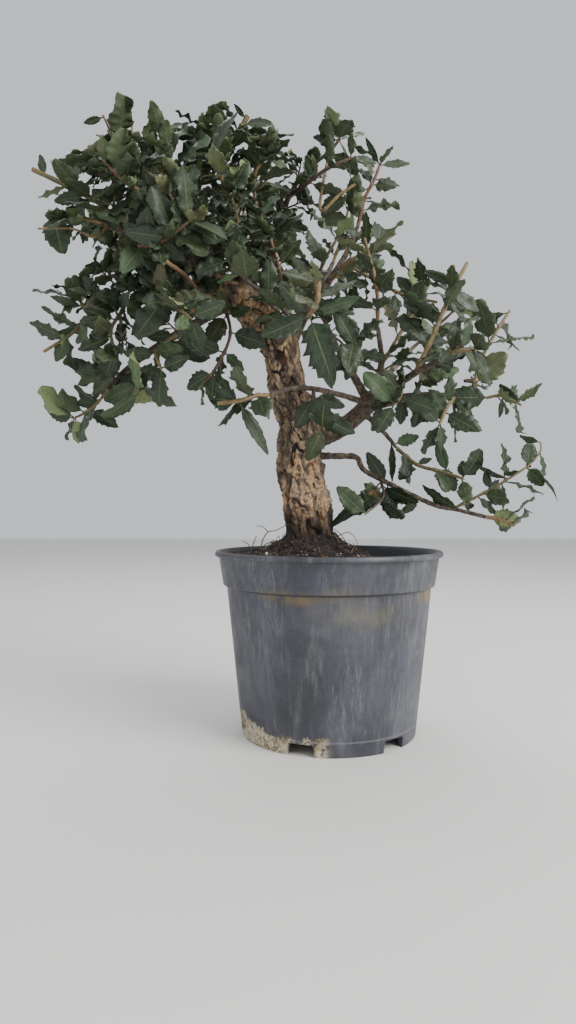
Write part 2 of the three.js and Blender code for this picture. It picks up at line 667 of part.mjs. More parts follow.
// The blade's skin, from the four corners of its root: near-right, near-left, far-left, far-right
function addBlade(leaf, root, positions, index) {
  const put = (corner) => positions.push(corner.x, corner.y, corner.z) / 3 - 1;
  const rib = (up) => put(bladePoint(leaf, RIB_AT, 0).addScaledVector(leaf.normal, up));
  const [nearRight, nearLeft, farLeft, farRight] = root;
  const [top, bottom] = [rib(RIB_HALF), rib(-RIB_HALF)];
  const tip = put(bladePoint(leaf, 1, 0));
  const edge = (way) => HALF_OUTLINE.map(([along, across, wave]) => (
    put(bladePoint(leaf, along, way * across, wave))
  ));
  const left = edge(1);
  const right = edge(-1);
  index.push(nearRight, nearLeft, bottom, nearLeft, farLeft, left[0]);
  index.push(farLeft, farRight, top, farRight, nearRight, right[0]);
  index.push(nearLeft, left[0], bottom, farLeft, top, left[0]);
  index.push(farRight, right[0], top, nearRight, bottom, right[0]);
  const around = [...left, tip, ...right.reverse()];
  for (let i = 0; i < around.length - 1; i++) {
    index.push(top, around[i + 1], around[i]);
    index.push(bottom, around[i], around[i + 1]);
  }
}

// A three-sided twig that turns with its leaves, each blade growing out of a face between two rings
function shootSolid(name, nodes, woodRoom) {
  const curve = shootCurve(name);
  const zero = turnZero(curve);
  const half = NODE_HALF / lengthOf(curve);
  const sides = 3;
  const positions = [];
  const index = [];
  const rings = [];
  let phase = nodes[0].turn;
  let face = 0;
  const addRing = (t) => {
    const { at, out } = stationOf(curve, zero, t);
    for (let j = 0; j < sides; j++) {
      const corner = at.clone().addScaledVector(out(phase + ((2 * j - 1) * Math.PI) / sides), shootRadius(t));
      positions.push(corner.x, corner.y, corner.z);
    }
    rings.push(positions.length / 3 - sides);
  };
  const join = (leaves) => {
    const [near, far] = rings.slice(-2);
    for (let j = 0; j < sides; j++) {
      const next = (j + 1) % sides;
      const leaf = leaves[(j - face + sides) % sides];
      const corners = [near + j, near + next, far + next, far + j];
      if (leaf) {
        addBlade(leaf, corners, positions, index);
      } else {
        const [a, b, c, d] = corners;
        index.push(a, b, d, b, c, d);
      }
    }
  };
  addRing(0);
  for (const node of nodes) {
    // The nearest of the three equal positions keeps the twig from winding up
    const third = (2 * Math.PI) / sides;
    const step = Math.round((node.turn - phase) / third);
    phase = node.turn - step * third;
    face = ((step % sides) + sides) % sides;
    addRing(node.t - half);
    join([]);
    addRing(node.t + half);
    join(node.leaves);
  }
  addRing(1);
  join([]);
  const last = rings[rings.length - 1];
  index.push(0, 2, 1, last, last + 1, last + 2);
  return largestOf(solidOf(geometryFrom(positions, index)).subtract(woodRoom));
}

function meshOf(name, solid, [colour, roughness]) {
  const material = new THREE.MeshStandardMaterial({ color: colour, roughness, metalness: 0 });
  const mesh = new THREE.Mesh(geometryOf(solid), material);
  mesh.name = name;
  return mesh;
}

function build() {
  const group = new THREE.Group();
  const woodRoom = woodSolid(SEAT_GAP);
  group.add(meshOf('pot', potSolid(), COLOURS.pot));
  group.add(meshOf('soil', soilSolid(woodRoom), COLOURS.soil));
  group.add(meshOf('trunk', woodSolid(0), COLOURS.trunk));
  addWood(trunkCurve, (t) => trunkRadii.getPoint(t).x, 'trunk');
  for (const [name, curve] of Object.entries(limbCurves)) {
    addWood(curve, (t) => limbRadius(name, t), name);
  }
  const names = Object.keys(SHOOTS);
  names.forEach((name) => addWood(shootCurve(name), shootRadius, name));
  names.forEach((name, order) => {
    const nodes = nodesOf(name, order);
    group.add(meshOf(name, shootSolid(name, nodes, woodRoom), COLOURS.shoot));
  });
  return group;
}

export default build();
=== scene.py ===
import math

import bpy
import numpy as np
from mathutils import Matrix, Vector, noise


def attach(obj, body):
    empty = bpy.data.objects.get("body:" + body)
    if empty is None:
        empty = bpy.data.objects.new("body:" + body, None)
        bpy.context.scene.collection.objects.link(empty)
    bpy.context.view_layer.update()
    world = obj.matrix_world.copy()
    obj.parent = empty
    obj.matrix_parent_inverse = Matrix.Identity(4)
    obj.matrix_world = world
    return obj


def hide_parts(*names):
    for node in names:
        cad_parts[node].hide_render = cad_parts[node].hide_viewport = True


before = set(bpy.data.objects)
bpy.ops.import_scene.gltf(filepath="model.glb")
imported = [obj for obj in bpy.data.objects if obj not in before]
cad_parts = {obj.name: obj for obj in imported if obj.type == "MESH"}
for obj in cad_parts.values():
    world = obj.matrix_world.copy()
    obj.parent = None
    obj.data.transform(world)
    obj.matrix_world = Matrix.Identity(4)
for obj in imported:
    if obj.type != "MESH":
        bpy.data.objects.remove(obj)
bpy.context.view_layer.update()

# A cork oak bonsai in its nursery pot. The shapes are worked out in millimetres, as in the CAD model,
# and turned to metres when a mesh is made.
MM = 0.001

# Pot, as in the CAD model
POT_HEIGHT = 150
RIM_RADIUS = 95
LIP_HEIGHT = 4.6
LIP_PROUD = 3.4
COLLAR_BOTTOM = 123
COLLAR_RADIUS_TOP = 91.6
COLLAR_RADIUS_BOTTOM = 88.3
BODY_RADIUS_TOP = 84.8
BASE_RADIUS = 72.6
WALL = 1.6
COLLAR_STEP = 5
PAD_RADIUS = 30
CHANNEL_HEIGHT = 6
CHANNEL_SLOPE = 4
SKIRT_WALL = 2.2
NOTCH_COUNT = 6
NOTCH_WIDTH = 21
NOTCH_HEIGHT = 9.5
NOTCH_DEPTH = 12
NOTCH_ROUND = 2.5
FIRST_NOTCH_DEG = -110
POT_SIDES = 192
POT_WOBBLE = 0.22
INSIDE_TOP = POT_HEIGHT - 0.9
SHARP_FROM_DEG = 38

# Soil, as in the CAD model
SOIL_LEVEL = 145
MOUND_HEIGHT = 14
MOUND_SPREAD = 34
SOIL_SINK_RIGHT = 8
SOIL_LUMP = 1.3
SOIL_RADIUS = 85.4
SOIL_FLOOR = 8
SOIL_SIDES = 200
SOIL_STEP = 1.3
HEAP_HEIGHT = 8
HEAP_SPREAD = 31
SOIL_GAP = 0.6
CRUMB_COUNT = 2100
# Shares of the crumbs that are white grains and bark chips, and how many more chips lie at the left
WHITE_SHARE = 0.035
CHIP_SHARE = 0.17
MORE_CHIPS_LEFT = 0.35
FIBRE_COUNT = 340
FIBRE_RADIUS = 0.27
LITTER_REACH = 82

# Trunk centre line with its radius: x, y, z, radius
TRUNK = [
    [-13, -4, 108, 21],
    [-14, -5, 137, 21],
    [-15, -5, 159, 19],
    [-18, -5, 184, 19],
    [-22, -4, 205, 18.2],
    [-24, -2, 226, 18],
    [-24, 0, 246, 17.2],
    [-26, 2, 264, 17.4],
    [-34, 3, 282, 15.2],
    [-37, 2, 304, 14],
    [-43, 0, 326, 14.8],
    [-56, -2, 344, 15],
    [-72, -4, 357, 13.2],
    [-89, -5, 367, 10.6],
    [-102, -5, 379, 8],
]
FOOT_X, FOOT_Y = TRUNK[1][:2]
FOOT_CLEAR = 21
BARK_RELIEF = 0.075
SCARS = [[13, 0, 249, 3.6], [-7, -8, 219, 5]]
TRUNK_FACETS = 150
TRUNK_RINGS = 330
CORK_DEPTH = 3.2
LIMB_VOXEL = 1.4
LIMB_ROOT_INSET = 1.6
# Where the lower limbs leave the trunk
FORK_X, FORK_Y = -8, 4

# Limbs: radius at the fork, radius at the end, and the centre line
LIMBS = {
    "crown_top_left": [8, 2.4, [-98, -5, 375], [-106, -5, 388], [-122, 0, 413], [-133, 5, 443],
                       [-143, 8, 472]],
    "crown_top": [7, 2.3, [-72, -4, 357], [-77, 10, 389], [-85, 20, 423], [-88, 22, 455], [-91, 18, 477]],
    "crown_left": [6.5, 2.3, [-92, -5, 369], [-119, -10, 370], [-151, -15, 372], [-178, -15, 362],
                   [-199, -10, 347]],
    "left_mid": [4.6, 2.2, [-109, -4, 392], [-134, -20, 397], [-160, -30, 403], [-177, -35, 409]],
    "left_low": [5, 2.2, [-77, -5, 359], [-108, 2, 344], [-142, 0, 323], [-168, -5, 302], [-183, -10, 283]],
    "back_left": [6, 2.3, [-74, -2, 358], [-98, 36, 393], [-124, 66, 426], [-148, 88, 452]],
    "back_mid": [5.2, 2.2, [-58, 0, 346], [-64, 46, 384], [-72, 76, 420], [-82, 98, 450]],
    "top_right": [6, 2.2, [-55, -3, 343], [-51, 20, 384], [-46, 35, 425], [-37, 40, 458], [-23, 40, 485]],
    "right_up": [5, 2.1, [-41, 0, 320], [-22, 5, 352], [-2, 10, 376], [16, 20, 406], [28, 30, 436]],
    "back_right": [5.4, 2.2, [-38, 3, 306], [-23, 42, 350], [-5, 70, 390], [10, 88, 425]],
    "front_mid": [4.4, 2.1, [-42, -4, 322], [-36, -40, 327], [-27, -76, 323], [-20, -100, 318]],
    "right_main": [9, 7, [-22, 3, 240], [-3, 6, 247], [15, 8, 256], [38, 5, 276]],
    "right_far": [5.6, 2, [32, 5, 272], [69, -5, 278], [100, -15, 277], [127, -20, 275]],
    "right_inner": [4.4, 2, [35, 5, 273], [20, 0, 300], [7, -10, 318], [-2, -15, 335]],
    "right_front": [4.4, 2, [35, 5, 273], [51, -35, 282], [63, -65, 287], [75, -85, 291]],
    "right_back": [5.2, 2.1, [15, 8, 258], [40, 42, 286], [66, 68, 318], [88, 84, 342]],
    "right_rise": [4, 2, [35, 5, 274], [43, -12, 303], [38, -28, 331]],
    "front_low": [3, 1.8, [34, 4, 274], [7, -30, 276], [-25, -60, 276], [-48, -80, 267]],
    "low_right": [3, 1.9, [-20, -1, 229], [14, -4, 229], [24, -6, 227], [29, -8, 217], [52, -14, 204],
                  [84, -22, 188], [101, -26, 184], [124, -32, 178]],
    "low_second": [2.6, 1.7, [29, 6, 268], [48, 0, 248], [57, -6, 235]],
    "root_left": [6.5, 2.2, [-16, -5, 133], [-40, -10, 118], [-58, -12, 92]],
    "root_right": [6, 2.2, [-10, -3, 131], [16, 2, 116], [40, 8, 84]],
    "root_back": [6, 2.2, [-13, -2, 126], [-22, 26, 110], [-30, 50, 70]],
}

# Leafy shoots: limb, share of the limb where it leaves, share left bare at the tip, and the points
SHOOTS = {
    "left_high": ["left_mid", 0.84, 0.28, [-180, -34, 424], [-208, -28, 442], [-241, -22, 460]],
    "left_tip": ["left_mid", 1, 0, [-186, -38, 410], [-196, -38, 412], [-206, -35, 414]],
    "left_front": ["left_mid", 0.42, 0, [-147, -58, 384], [-128, -78, 378], [-104, -84, 392]],
    "left_face": ["crown_left", 0.55, 0, [-133, -46, 353], [-122, -72, 338], [-104, -82, 322]],
    "left_edge": ["crown_left", 1, 0, [-206, -8, 356], [-212, -2, 368]],
    "left_drop": ["crown_left", 0.9, 0.35, [-208, -22, 328], [-231, -26, 311]],
    "left_under": ["crown_left", 0.72, 0, [-164, -34, 346], [-172, -44, 324], [-168, -46, 306]],
    "left_above": ["crown_left", 0.66, 0, [-168, 4, 392], [-184, 14, 414], [-190, 20, 440]],
    "low_spray": ["left_low", 1, 0, [-192, -16, 270], [-201, -20, 262], [-208, -22, 258]],
    "low_inner": ["left_low", 0.7, 0, [-153, -32, 286], [-147, -56, 273]],
    "low_back": ["left_low", 0.84, 0, [-190, 26, 308], [-206, 46, 304]],
    "low_mid": ["left_low", 0.4, 0, [-126, -30, 322], [-136, -48, 306], [-130, -58, 290]],
    "top_far_left": ["crown_top_left", 1, 0.38, [-166, 2, 478], [-179, -8, 494], [-187, -12, 510]],
    "top_left": ["crown_top_left", 0.88, 0.25, [-152, 24, 486], [-166, 22, 514]],
    "top_left_back": ["crown_top_left", 0.7, 0, [-156, 40, 478], [-172, 62, 496]],
    "top_left_out": ["crown_top_left", 0.78, 0, [-160, -12, 452], [-180, -10, 463], [-196, -4, 474]],
    "top_front": ["crown_top_left", 0.42, 0.16, [-113, -28, 428], [-127, -36, 462], [-139, -34, 494]],
    "top_face": ["crown_top_left", 0.55, 0, [-142, -34, 430], [-160, -52, 436], [-176, -56, 450]],
    "top_stub": ["crown_top", 1, 0.2, [-104, 10, 496], [-107, 6, 522]],
    "top_olive": ["crown_top", 0.84, 0.2, [-88, -6, 470], [-79, -12, 488], [-67, -16, 507]],
    "top_mid": ["crown_top", 0.68, 0, [-67, 14, 462], [-61, 10, 480], [-55, 8, 496]],
    "top_right": ["top_right", 1, 0, [-8, 32, 494], [4, 27, 502], [11, 24, 509]],
    "top_right_low": ["top_right", 0.84, 0, [-20, 14, 464], [-2, 2, 472], [20, -4, 479]],
    "top_right_in": ["top_right", 0.5, 0, [-58, 4, 432], [-62, -14, 456], [-50, -22, 474]],
    "right_high": ["right_up", 1, 0, [33, 22, 456], [41, 18, 471], [46, 16, 484]],
    "right_high_back": ["right_up", 0.88, 0, [25, 54, 456], [20, 70, 482]],
    "cut_a": ["right_up", 0.52, 0.3, [19, -12, 390], [39, -16, 401], [54, -18, 410]],
    "cut_b": ["right_rise", 1, 0.3, [36, -38, 357], [30, -40, 382], [26, -40, 397]],
    "cut_c": ["right_up", 0.7, 0.25, [38, 14, 384], [65, 4, 366], [92, 0, 359]],
    "cut_d": ["right_front", 0.62, 0.3, [74, -66, 313], [88, -62, 345], [102, -58, 371]],
    "cut_e": ["right_rise", 0.5, 0.1, [56, -8, 325], [70, -6, 348], [84, -8, 372]],
    "cut_f": ["right_far", 0.36, 0.3, [75, -28, 292], [90, -38, 307], [104, -42, 320]],
    "cut_g": ["right_far", 0.86, 0.25, [124, -14, 305], [138, -12, 331], [150, -10, 349]],
    "far_tip": ["right_far", 1, 0.15, [140, -24, 276], [154, -26, 268]],
    "far_under": ["right_far", 0.7, 0, [91, -36, 263], [83, -50, 250]],
    "second_low": ["low_second", 1, 0, [73, -12, 221], [92, -18, 215], [108, -22, 209]],
    "low_left_leaf": ["low_right", 0.52, 0, [42, -30, 194], [26, -44, 180]],
    "low_riser": ["low_right", 0.84, 0, [117, -28, 194], [136, -32, 205], [156, -34, 218]],
    "low_tip": ["low_right", 1, 0.1, [134, -36, 176], [145, -38, 172]],
    "front_star": ["front_mid", 1, 0.2, [-14, -108, 327], [-14, -110, 346]],
    "front_upper": ["front_mid", 0.55, 0, [-44, -62, 341], [-62, -78, 349], [-78, -84, 364]],
    "front_low": ["front_low", 1, 0.3, [-58, -88, 265], [-68, -92, 261], [-84, -92, 259]],
    "front_drop": ["front_low", 0.55, 0, [-15, -70, 258], [-8, -80, 242]],
    "low_left_front": ["left_low", 0.08, 0.1, [-80, -34, 322], [-91, -44, 293], [-103, -46, 278]],
    "heart_front": ["crown_left", 0.1, 0, [-96, -40, 380], [-106, -66, 398], [-122, -76, 416]],
    "heart_top": ["crown_top", 0.3, 0, [-74, -24, 408], [-78, -50, 424], [-92, -60, 448]],
    "heart_right": ["right_up", 0.14, 0, [-38, -30, 359], [-44, -54, 380], [-54, -62, 404]],
    "heart_back": ["crown_left", 0.3, 0, [-128, 30, 392], [-142, 56, 400]],
    "inner_front": ["right_inner", 0.55, 0, [18, -48, 306], [15, -74, 309]],
    "inner_tip": ["right_inner", 1, 0, [-12, -28, 352], [-8, -46, 372], [4, -54, 392]],
    "front_right": ["right_front", 1, 0, [84, -96, 295], [96, -102, 294]],
    "front_right_low": ["right_front", 0.42, 0, [51, -60, 270], [43, -80, 260]],
    "back_left_out": ["back_left", 1, 0, [-176, 100, 462], [-200, 104, 458]],
    "back_left_up": ["back_left", 0.8, 0, [-146, 80, 472], [-152, 82, 504]],
    "back_mid_up": ["back_mid", 1, 0, [-80, 106, 474], [-74, 104, 502]],
    "back_right_up": ["back_right", 1, 0, [20, 94, 456], [26, 92, 484]],
    "back_far_up": ["right_back", 1, 0, [108, 88, 360], [128, 84, 378]],
}

# Bare twigs with a cut end: limb or shoot, share of it where the twig leaves, radii, tone, points
CUT_TWIGS = {
    "left_second": ["left_mid", 1.0, [2.1, 1.9], 0.08, [-191, -33, 414], [-207, -34, 417], [-224, -35, 420]],
    "left_third": ["left_mid", 1.0, [1.1, 0.9], 0.45, [-185, -42, 397], [-202, -46, 402], [-228, -46, 402]],
    "top_thin": ["top_left", 0.25, [1.1, 0.9], 0.4, [-165, 8, 468], [-166, 6, 490], [-167, 4, 516]],
    "top_dark": ["top_olive", 0.29, [1.6, 1.4], 0.95, [-96, -8, 460], [-92, -6, 484], [-83, -4, 507]],
    "top_tan": ["top_mid", 0.35, [1.0, 0.8], 0.4, [-59, -2, 453], [-47, -4, 468], [-31, -6, 485]],
    "right_stub": ["top_right", 0.61, [1.4, 1.2], 0.35, [-7, -2, 437], [9, -8, 446], [22, -10, 454]],
    "front_cut": ["crown_left", 0.17, [1.7, 1.5], 0.62, [-105, -40, 356], [-110, -76, 356],
                  [-121, -88, 361]],
    "riser_tip": ["low_riser", 1.0, [0.8, 0.6], 0.3, [160, -34, 222], [166, -35, 230], [166, -36, 237]],
    "far_stub": ["far_tip", 0.22, [0.6, 0.5], 0.35, [130, -30, 275], [137, -32, 274]],
    "top_fork": ["top_stub", 0.87, [0.9, 0.8], 0.95, [-107, 8, 515], [-104, 8, 521], [-103, 8, 523]],
    "g_stub": ["cut_g", 0.14, [1.1, 1.0], 0.95, [111, -14, 290], [117, -14, 291]],
}

# The root that arches over the peat, the small ones and the bare twiglet beside it: radius and points
SURFACE_ROOTS = {
    "arch": [0.5, [-56, -30, 152], [-54, -29, 160], [-50, -28, 166], [-44, -26, 167], [-38, -22, 170],
             [-32, -16, 172], [-26, -10, 172]],
    "side": [0.4, [-50, -28, 166], [-54, -31, 170], [-60, -34, 171]],
    "second": [0.45, [-60, -24, 147], [-52, -25, 156], [-44, -24, 158], [-36, -18, 161], [-28, -12, 160]],
    "twiglet": [0.6, [-64, -34, 142], [-63, -35, 152], [-59, -36, 163]],
    "fork": [0.45, [-63, -35, 152], [-66, -36, 157], [-70, -36, 159]],
    "right": [0.5, [8, -18, 156], [16, -24, 156], [26, -30, 150], [38, -36, 141]],
    "front": [0.45, [-8, -26, 158], [-4, -38, 155], [4, -48, 146]],
    "loop": [0.4, [8, -4, 162], [16, -8, 165], [22, -10, 160], [24, -12, 152]],
}

# Leaves that stand out in the picture: share of the shoot, tip, width by length, turn in degrees
SEEN_LEAVES = {
    "front_star": [
        [0.04, [-40, -113, 338], 0.56, 5], [0.1, [14, -116, 327], 0.4, 15],
        [0.06, [-4, -118, 269], 0.5, -8], [0.02, [-52, -110, 302], 0.5, 10],
    ],
    "low_riser": [
        [1.0, [159, -34, 239], 0.75, 10], [0.99, [167, -40, 203], 0.8, -5],
        [0.92, [138, -34, 211], 0.5, 50], [0.76, [114, -33, 215], 0.42, 66],
        [0.52, [123, -30, 214], 0.55, 30], [0.67, [141, -32, 183], 0.5, 20],
        [0.35, [134, -28, 180], 0.55, 40],
    ],
    "riser_tip": [[1.0, [149, -36, 241], 0.5, 66], [0.63, [171, -35, 211], 0.5, 58]],
    "low_tip": [[0.06, [152, -32, 176], 0.64, 168]],
    "low_right": [
        [0.89, [72, -27, 199], 0.42, 50], [0.66, [60, -19, 180], 0.5, 35], [0.55, [51, -13, 178], 0.66, 5],
        [0.53, [3, -12, 168], 0.22, 15], [0.55, [30, -13, 231], 0.5, 20],
    ],
    "second_low": [
        [0.75, [87, -19, 241], 0.42, 25], [1.0, [108, -22, 224], 0.8, 10], [0.71, [103, -19, 199], 0.85, 0],
        [0.32, [85, -12, 227], 0.6, 30], [0.27, [58, -11, 209], 0.8, 0],
    ],
    "low_second": [[0.72, [55, -3, 207], 0.26, 20], [0.85, [76, -4, 246], 0.6, 10]],
    "right_far": [
        [0.68, [106, -15, 239], 0.32, 40], [0.52, [89, -11, 257], 0.5, 30], [0.44, [72, -8, 252], 0.5, 20],
        [0.27, [60, -3, 255], 0.7, 10], [0.12, [38, 1, 250], 0.5, 25],
    ],
    "far_tip": [
        [0.12, [95, -21, 275], 0.66, 8], [0.99, [135, -26, 283], 0.46, 45],
        [0.49, [137, -24, 258], 0.4, 30],
    ],
    "cut_g": [[0.97, [117, -10, 339], 0.4, 62], [0.63, [159, -12, 318], 0.4, 58]],
    "cut_d": [
        [0.71, [110, -61, 333], 0.6, 10], [0.63, [101, -62, 325], 0.5, 20],
        [0.78, [69, -61, 364], 0.34, 52], [0.52, [52, -64, 336], 0.4, 50],
    ],
    "cut_c": [[0.9, [67, 1, 392], 0.5, 160], [0.84, [58, 2, 382], 0.55, 10], [0.58, [35, 6, 387], 0.62, 10]],
    "right_high": [
        [0.97, [72, 16, 485], 0.42, 20], [0.97, [33, 16, 507], 0.28, 40], [0.68, [64, 18, 468], 0.4, 30],
        [0.31, [53, 22, 452], 0.32, 55],
    ],
    "top_right": [
        [1.0, [3, 40, 549], 0.46, 0], [1.0, [35, 40, 527], 0.4, 40], [1.0, [-14, 40, 518], 0.4, 55],
        [1.0, [29, 40, 484], 0.28, 45],
    ],
    "top_right_low": [[0.98, [41, -4, 476], 0.6, 10], [0.5, [-20, 7, 487], 0.5, 20]],
    "left_drop": [[0.57, [-223, -23, 304], 0.6, 10], [0.39, [-229, -20, 321], 0.36, 45]],
    "left_edge": [[0.33, [-233, -9, 360], 0.36, 40]],
    "low_spray": [
        [0.95, [-202, -22, 237], 0.76, 168], [0.98, [-230, -22, 264], 0.7, 20],
        [0.46, [-173, -18, 251], 0.62, 15], [0.2, [-208, -14, 271], 0.65, 10],
    ],
    "left_low": [[0.95, [-144, -9, 276], 0.56, 170]],
    "left_high": [
        [0.89, [-236, -24, 472], 0.5, 15], [0.71, [-229, -27, 465], 0.24, 50],
        [0.67, [-202, -28, 462], 0.5, 15], [0.54, [-221, -31, 430], 0.5, 15],
    ],
    "left_second": [[0.94, [-213, -35, 387], 0.72, 5]],
    "top_far_left": [
        [0.97, [-203, -12, 503], 0.4, 40], [0.68, [-157, -8, 500], 0.36, 40],
        [0.57, [-199, -5, 487], 0.5, 20],
    ],
    "top_olive": [[0.96, [-79, -16, 517], 0.34, 30], [0.89, [-47, -15, 503], 0.46, 25]],
    "top_mid": [[0.98, [-37, 8, 498], 0.36, 40], [0.89, [-33, 9, 477], 0.42, 35]],
    "front_low_shoot": [[0.7, [-47, -92, 223], 0.27, 10], [0.73, [-85, -92, 270], 0.5, 25]],
    "low_left_front": [[0.7, [-113, -45, 278], 0.75, 0]],
    "top_stub": [[0.72, [-87, 8, 510], 0.4, 40]],
    "top_front": [[0.89, [-115, -35, 492], 0.4, 35]],
    "top_thin": [[0.78, [-179, 5, 490], 0.5, 20]],
    "left_front": [[0.77, [-153, -81, 386], 0.6, 5], [0.94, [-85, -83, 378], 0.62, 5]],
}
SHOOT_RADIUS = [1.7, 1.2]
NODE_HALF = 0.9
DENSE_SPACING = 17.6
OPEN_SPACING = 26
DENSE_LEFT_OF = -55
DENSE_ABOVE = 340
NODE_TURN = 2.42
FIRST_NODE = 10
LEAST_NODES = 3

# Leaves, as in the CAD model
LEAF_LENGTH = [24, 39]
LEAF_ASPECT = [0.5, 0.66]
LEAF_DROOP = [0.02, 0.2]
LEAF_CUP = [-0.12, 0.3]
LEAF_WAVE = [0.6, 1.7]
LEAN = [0.9, 1.2]
LIFT = 0.1
OUTWARD = 0.75
UPWARD = 0.55
SCATTER = 0.9
MOST_TWIST = 0.8
LEAF_TRIES = 12
RETRY_TURN = 0.83
RETRY_SHRINK = 0.97
SECOND_SHRINK = 0.9
# A leaf's least gaps from other leaves, from other wood and from the twig it grows on
CAD_GAPS = (3.4, 2.6, 1.8)
BEND_ROOM = 4
FLOOR_CLEAR = 165
SAMPLE_STEP = 3.2
SAMPLED_FROM = 0.22
SAMPLE_COLUMNS = [-0.9, -0.45, 0, 0.45, 0.9]
FIRST_SEED = 2003
SEED_STEP = 131
HEART_LEFT = np.array([-110.0, 20.0, 380.0])
HEART_RIGHT = np.array([60.0, 15.0, 290.0])
HALF_OUTLINE = [[0.26, 0.9, 0.7], [0.4, 0.8, -0.8], [0.57, 1, 0.9], [0.78, 0.58, -0.7]]

# Smaller leaves between the CAD model's own, and sprigs on the limbs, which fill the crown
FILL_SEED = 50021
DENSE_FILL_SPACING = 4.3
OPEN_FILL_SPACING = 60
FILL_LENGTH = [15, 28]
FILL_TRIES = 9
FILL_GAPS = (1.5, 1.2, 1.0)
SPRIG_SEED = 70001
DENSE_SPRIG_SPACING = 6.5
OPEN_SPRIG_SPACING = 34
SPRIG_FROM = 0.3
SPRIG_BARE = 0.35
SPRIG_LENGTH = [12, 26]
SPRIG_RADIUS = [0.95, 0.6]
SPRIG_LEAF_SPACING = 4.2
BARE_LIMBS = ("right_main", "right_far", "right_front", "right_back", "low_right", "low_second", "front_low",
              "root_left", "root_right", "root_back")
PLAIN_SHOOTS = ("cut_a", "cut_b", "cut_c", "cut_d", "cut_e", "cut_f", "cut_g", "front_low", "front_star",
                "low_riser", "low_tip", "second_low", "low_left_leaf", "far_tip", "low_spray", "left_high",
                "right_high", "top_right", "front_drop")
SEEN_DROOP = 0.05
SEEN_CUP = 0.1
SEEN_WAVE = 0.5
SEEN_RUFFLE = 0.45
SEEN_START = 0.6
UNDERSIDE_TONE = 0.03
# How far a blade may be from a new sprig to be looked at, and the gap that the sprig needs
SPRIG_NEAR = 60
SPRIG_GAP = 1.8

# Boxes that no filling leaf starts in, so that the trunk and the bare twigs show: low and high corner
OPEN_ROOM = [
    [[-80, -120, 306], [-36, -10, 350]],
    [[-56, -120, 232], [-26, -16, 312]],
    [[-150, -120, 425], [-106, -37, 505]],
    [[-96, -120, 458], [-60, -14, 515]],
    [[-236, -120, 428], [-186, -31, 468]],
    [[-120, -120, 488], [-94, 4, 545]],
    [[-178, -120, 492], [-154, 0, 525]],
]

# Twigs: their swelling at a node, and what a growing one ends in
TWIG_SIDES = 8
TWIG_STEP = 1.6
NODE_SWELL = 0.28
NODE_SPREAD = 1.5
MOST_SWELL = 0.34
BUD_LENGTH = 2.4
# A shoot's bark, from olive 0 over tan 0.4 to red-brown 0.8, and its radii, where the picture shows them
TWIG_LOOKS = {
    "left_high": [0.06, [2.0, 2.1]], "top_olive": [0.02, [2.0, 2.1]], "top_stub": [0.97, [1.7, 1.6]],
    "top_far_left": [0.78, [1.3, 0.9]], "top_front": [0.42, [1.5, 1.2]], "cut_a": [0.45, [1.6, 1.3]],
    "cut_b": [0.5, [1.5, 1.2]], "cut_d": [0.3, [1.8, 1.5]], "cut_g": [0.34, [1.5, 1.2]],
    "cut_c": [0.4, [1.5, 1.2]], "front_low": [0.42, [1.6, 1.5]], "front_star": [0.45, [1.8, 1.9]],
    "far_tip": [0.3, [1.3, 0.9]], "low_riser": [0.2, [1.3, 0.9]], "low_spray": [0.3, [1.3, 0.9]],
    "low_left_leaf": [0.9, [1.1, 0.8]], "low_left_front": [0.85, [1.4, 1.1]],
}

# The fine blade: rows for the stalk, then three rows for each tooth
STALK_END = 0.12
STALK_HALF = 0.55
STALK_THICK = 0.95
BLADE_THICK = 0.34
TEETH = 5
TOOTH_SIZE = [0.06, 0.15]
RUFFLE = [0.7, 2.2]
TOOTH_ROWS = [(0.0, -1.0), (0.5, -0.2), (0.9, 1.0)]
BLADE_COLUMNS = [-1, -0.68, -0.34, 0, 0.34, 0.68, 1]
PLAIN_COLUMNS = [-1, -0.5, 0, 0.5, 1]
PLAIN_TEETH = 4
RIB_GROOVE = 0.3
VEIN_PAIRS = 6
VEIN_SLOPE = 0.24
PUCKER = 0.22
# How much larger than usual the teeth are on the shoots with lobed leaves
LOBED = {"front_star": 2.4}
# Share of the CAD leaf's width between its teeth, in the dense crown and in the open shoots
DENSE_TRIM = 0.88
OPEN_TRIM = 0.82
# Half width of a leaf from which its edge waves in full; a smaller one waves less
FULL_RUFFLE_HALF = 7.5
# Least share of the full tooth size, on small leaves
SMALL_LEAF_TEETH = 0.5

# Camera and stage, in metres
CAMERA_LENS = 24.0
CAMERA_SENSOR = 36.0
CAMERA_AT = (-0.034, -0.576, 0.182)
FLOOR_SIZE = 8.0
SKY_COLOUR = "dfe2e6"
SKY_STRENGTH = 0.98
LIGHTS_AIM = (-0.03, 0, 0.25)
# Place, size, power and colour
LIGHTS = {
    "key": [(1.2, -0.9, 1.2), 1.3, 44, (1.0, 0.98, 0.95)],
    "fill": [(-1.3, -0.9, 0.9), 1.4, 3, (0.94, 0.97, 1.0)],
    "top": [(-0.2, 0.7, 1.7), 1.2, 12, (1.0, 1.0, 1.0)],
}

# Seeds of the looks, apart from those of the leaf rules above
NOISE_SEED = 5
LITTER_SEED = 4021
LIME_SEED = 311
SEEN_SEED = 610
SHOOT_SEED = 900
SPRIG_LOOK_SEED = 7000

# Stains and streaks, in metres

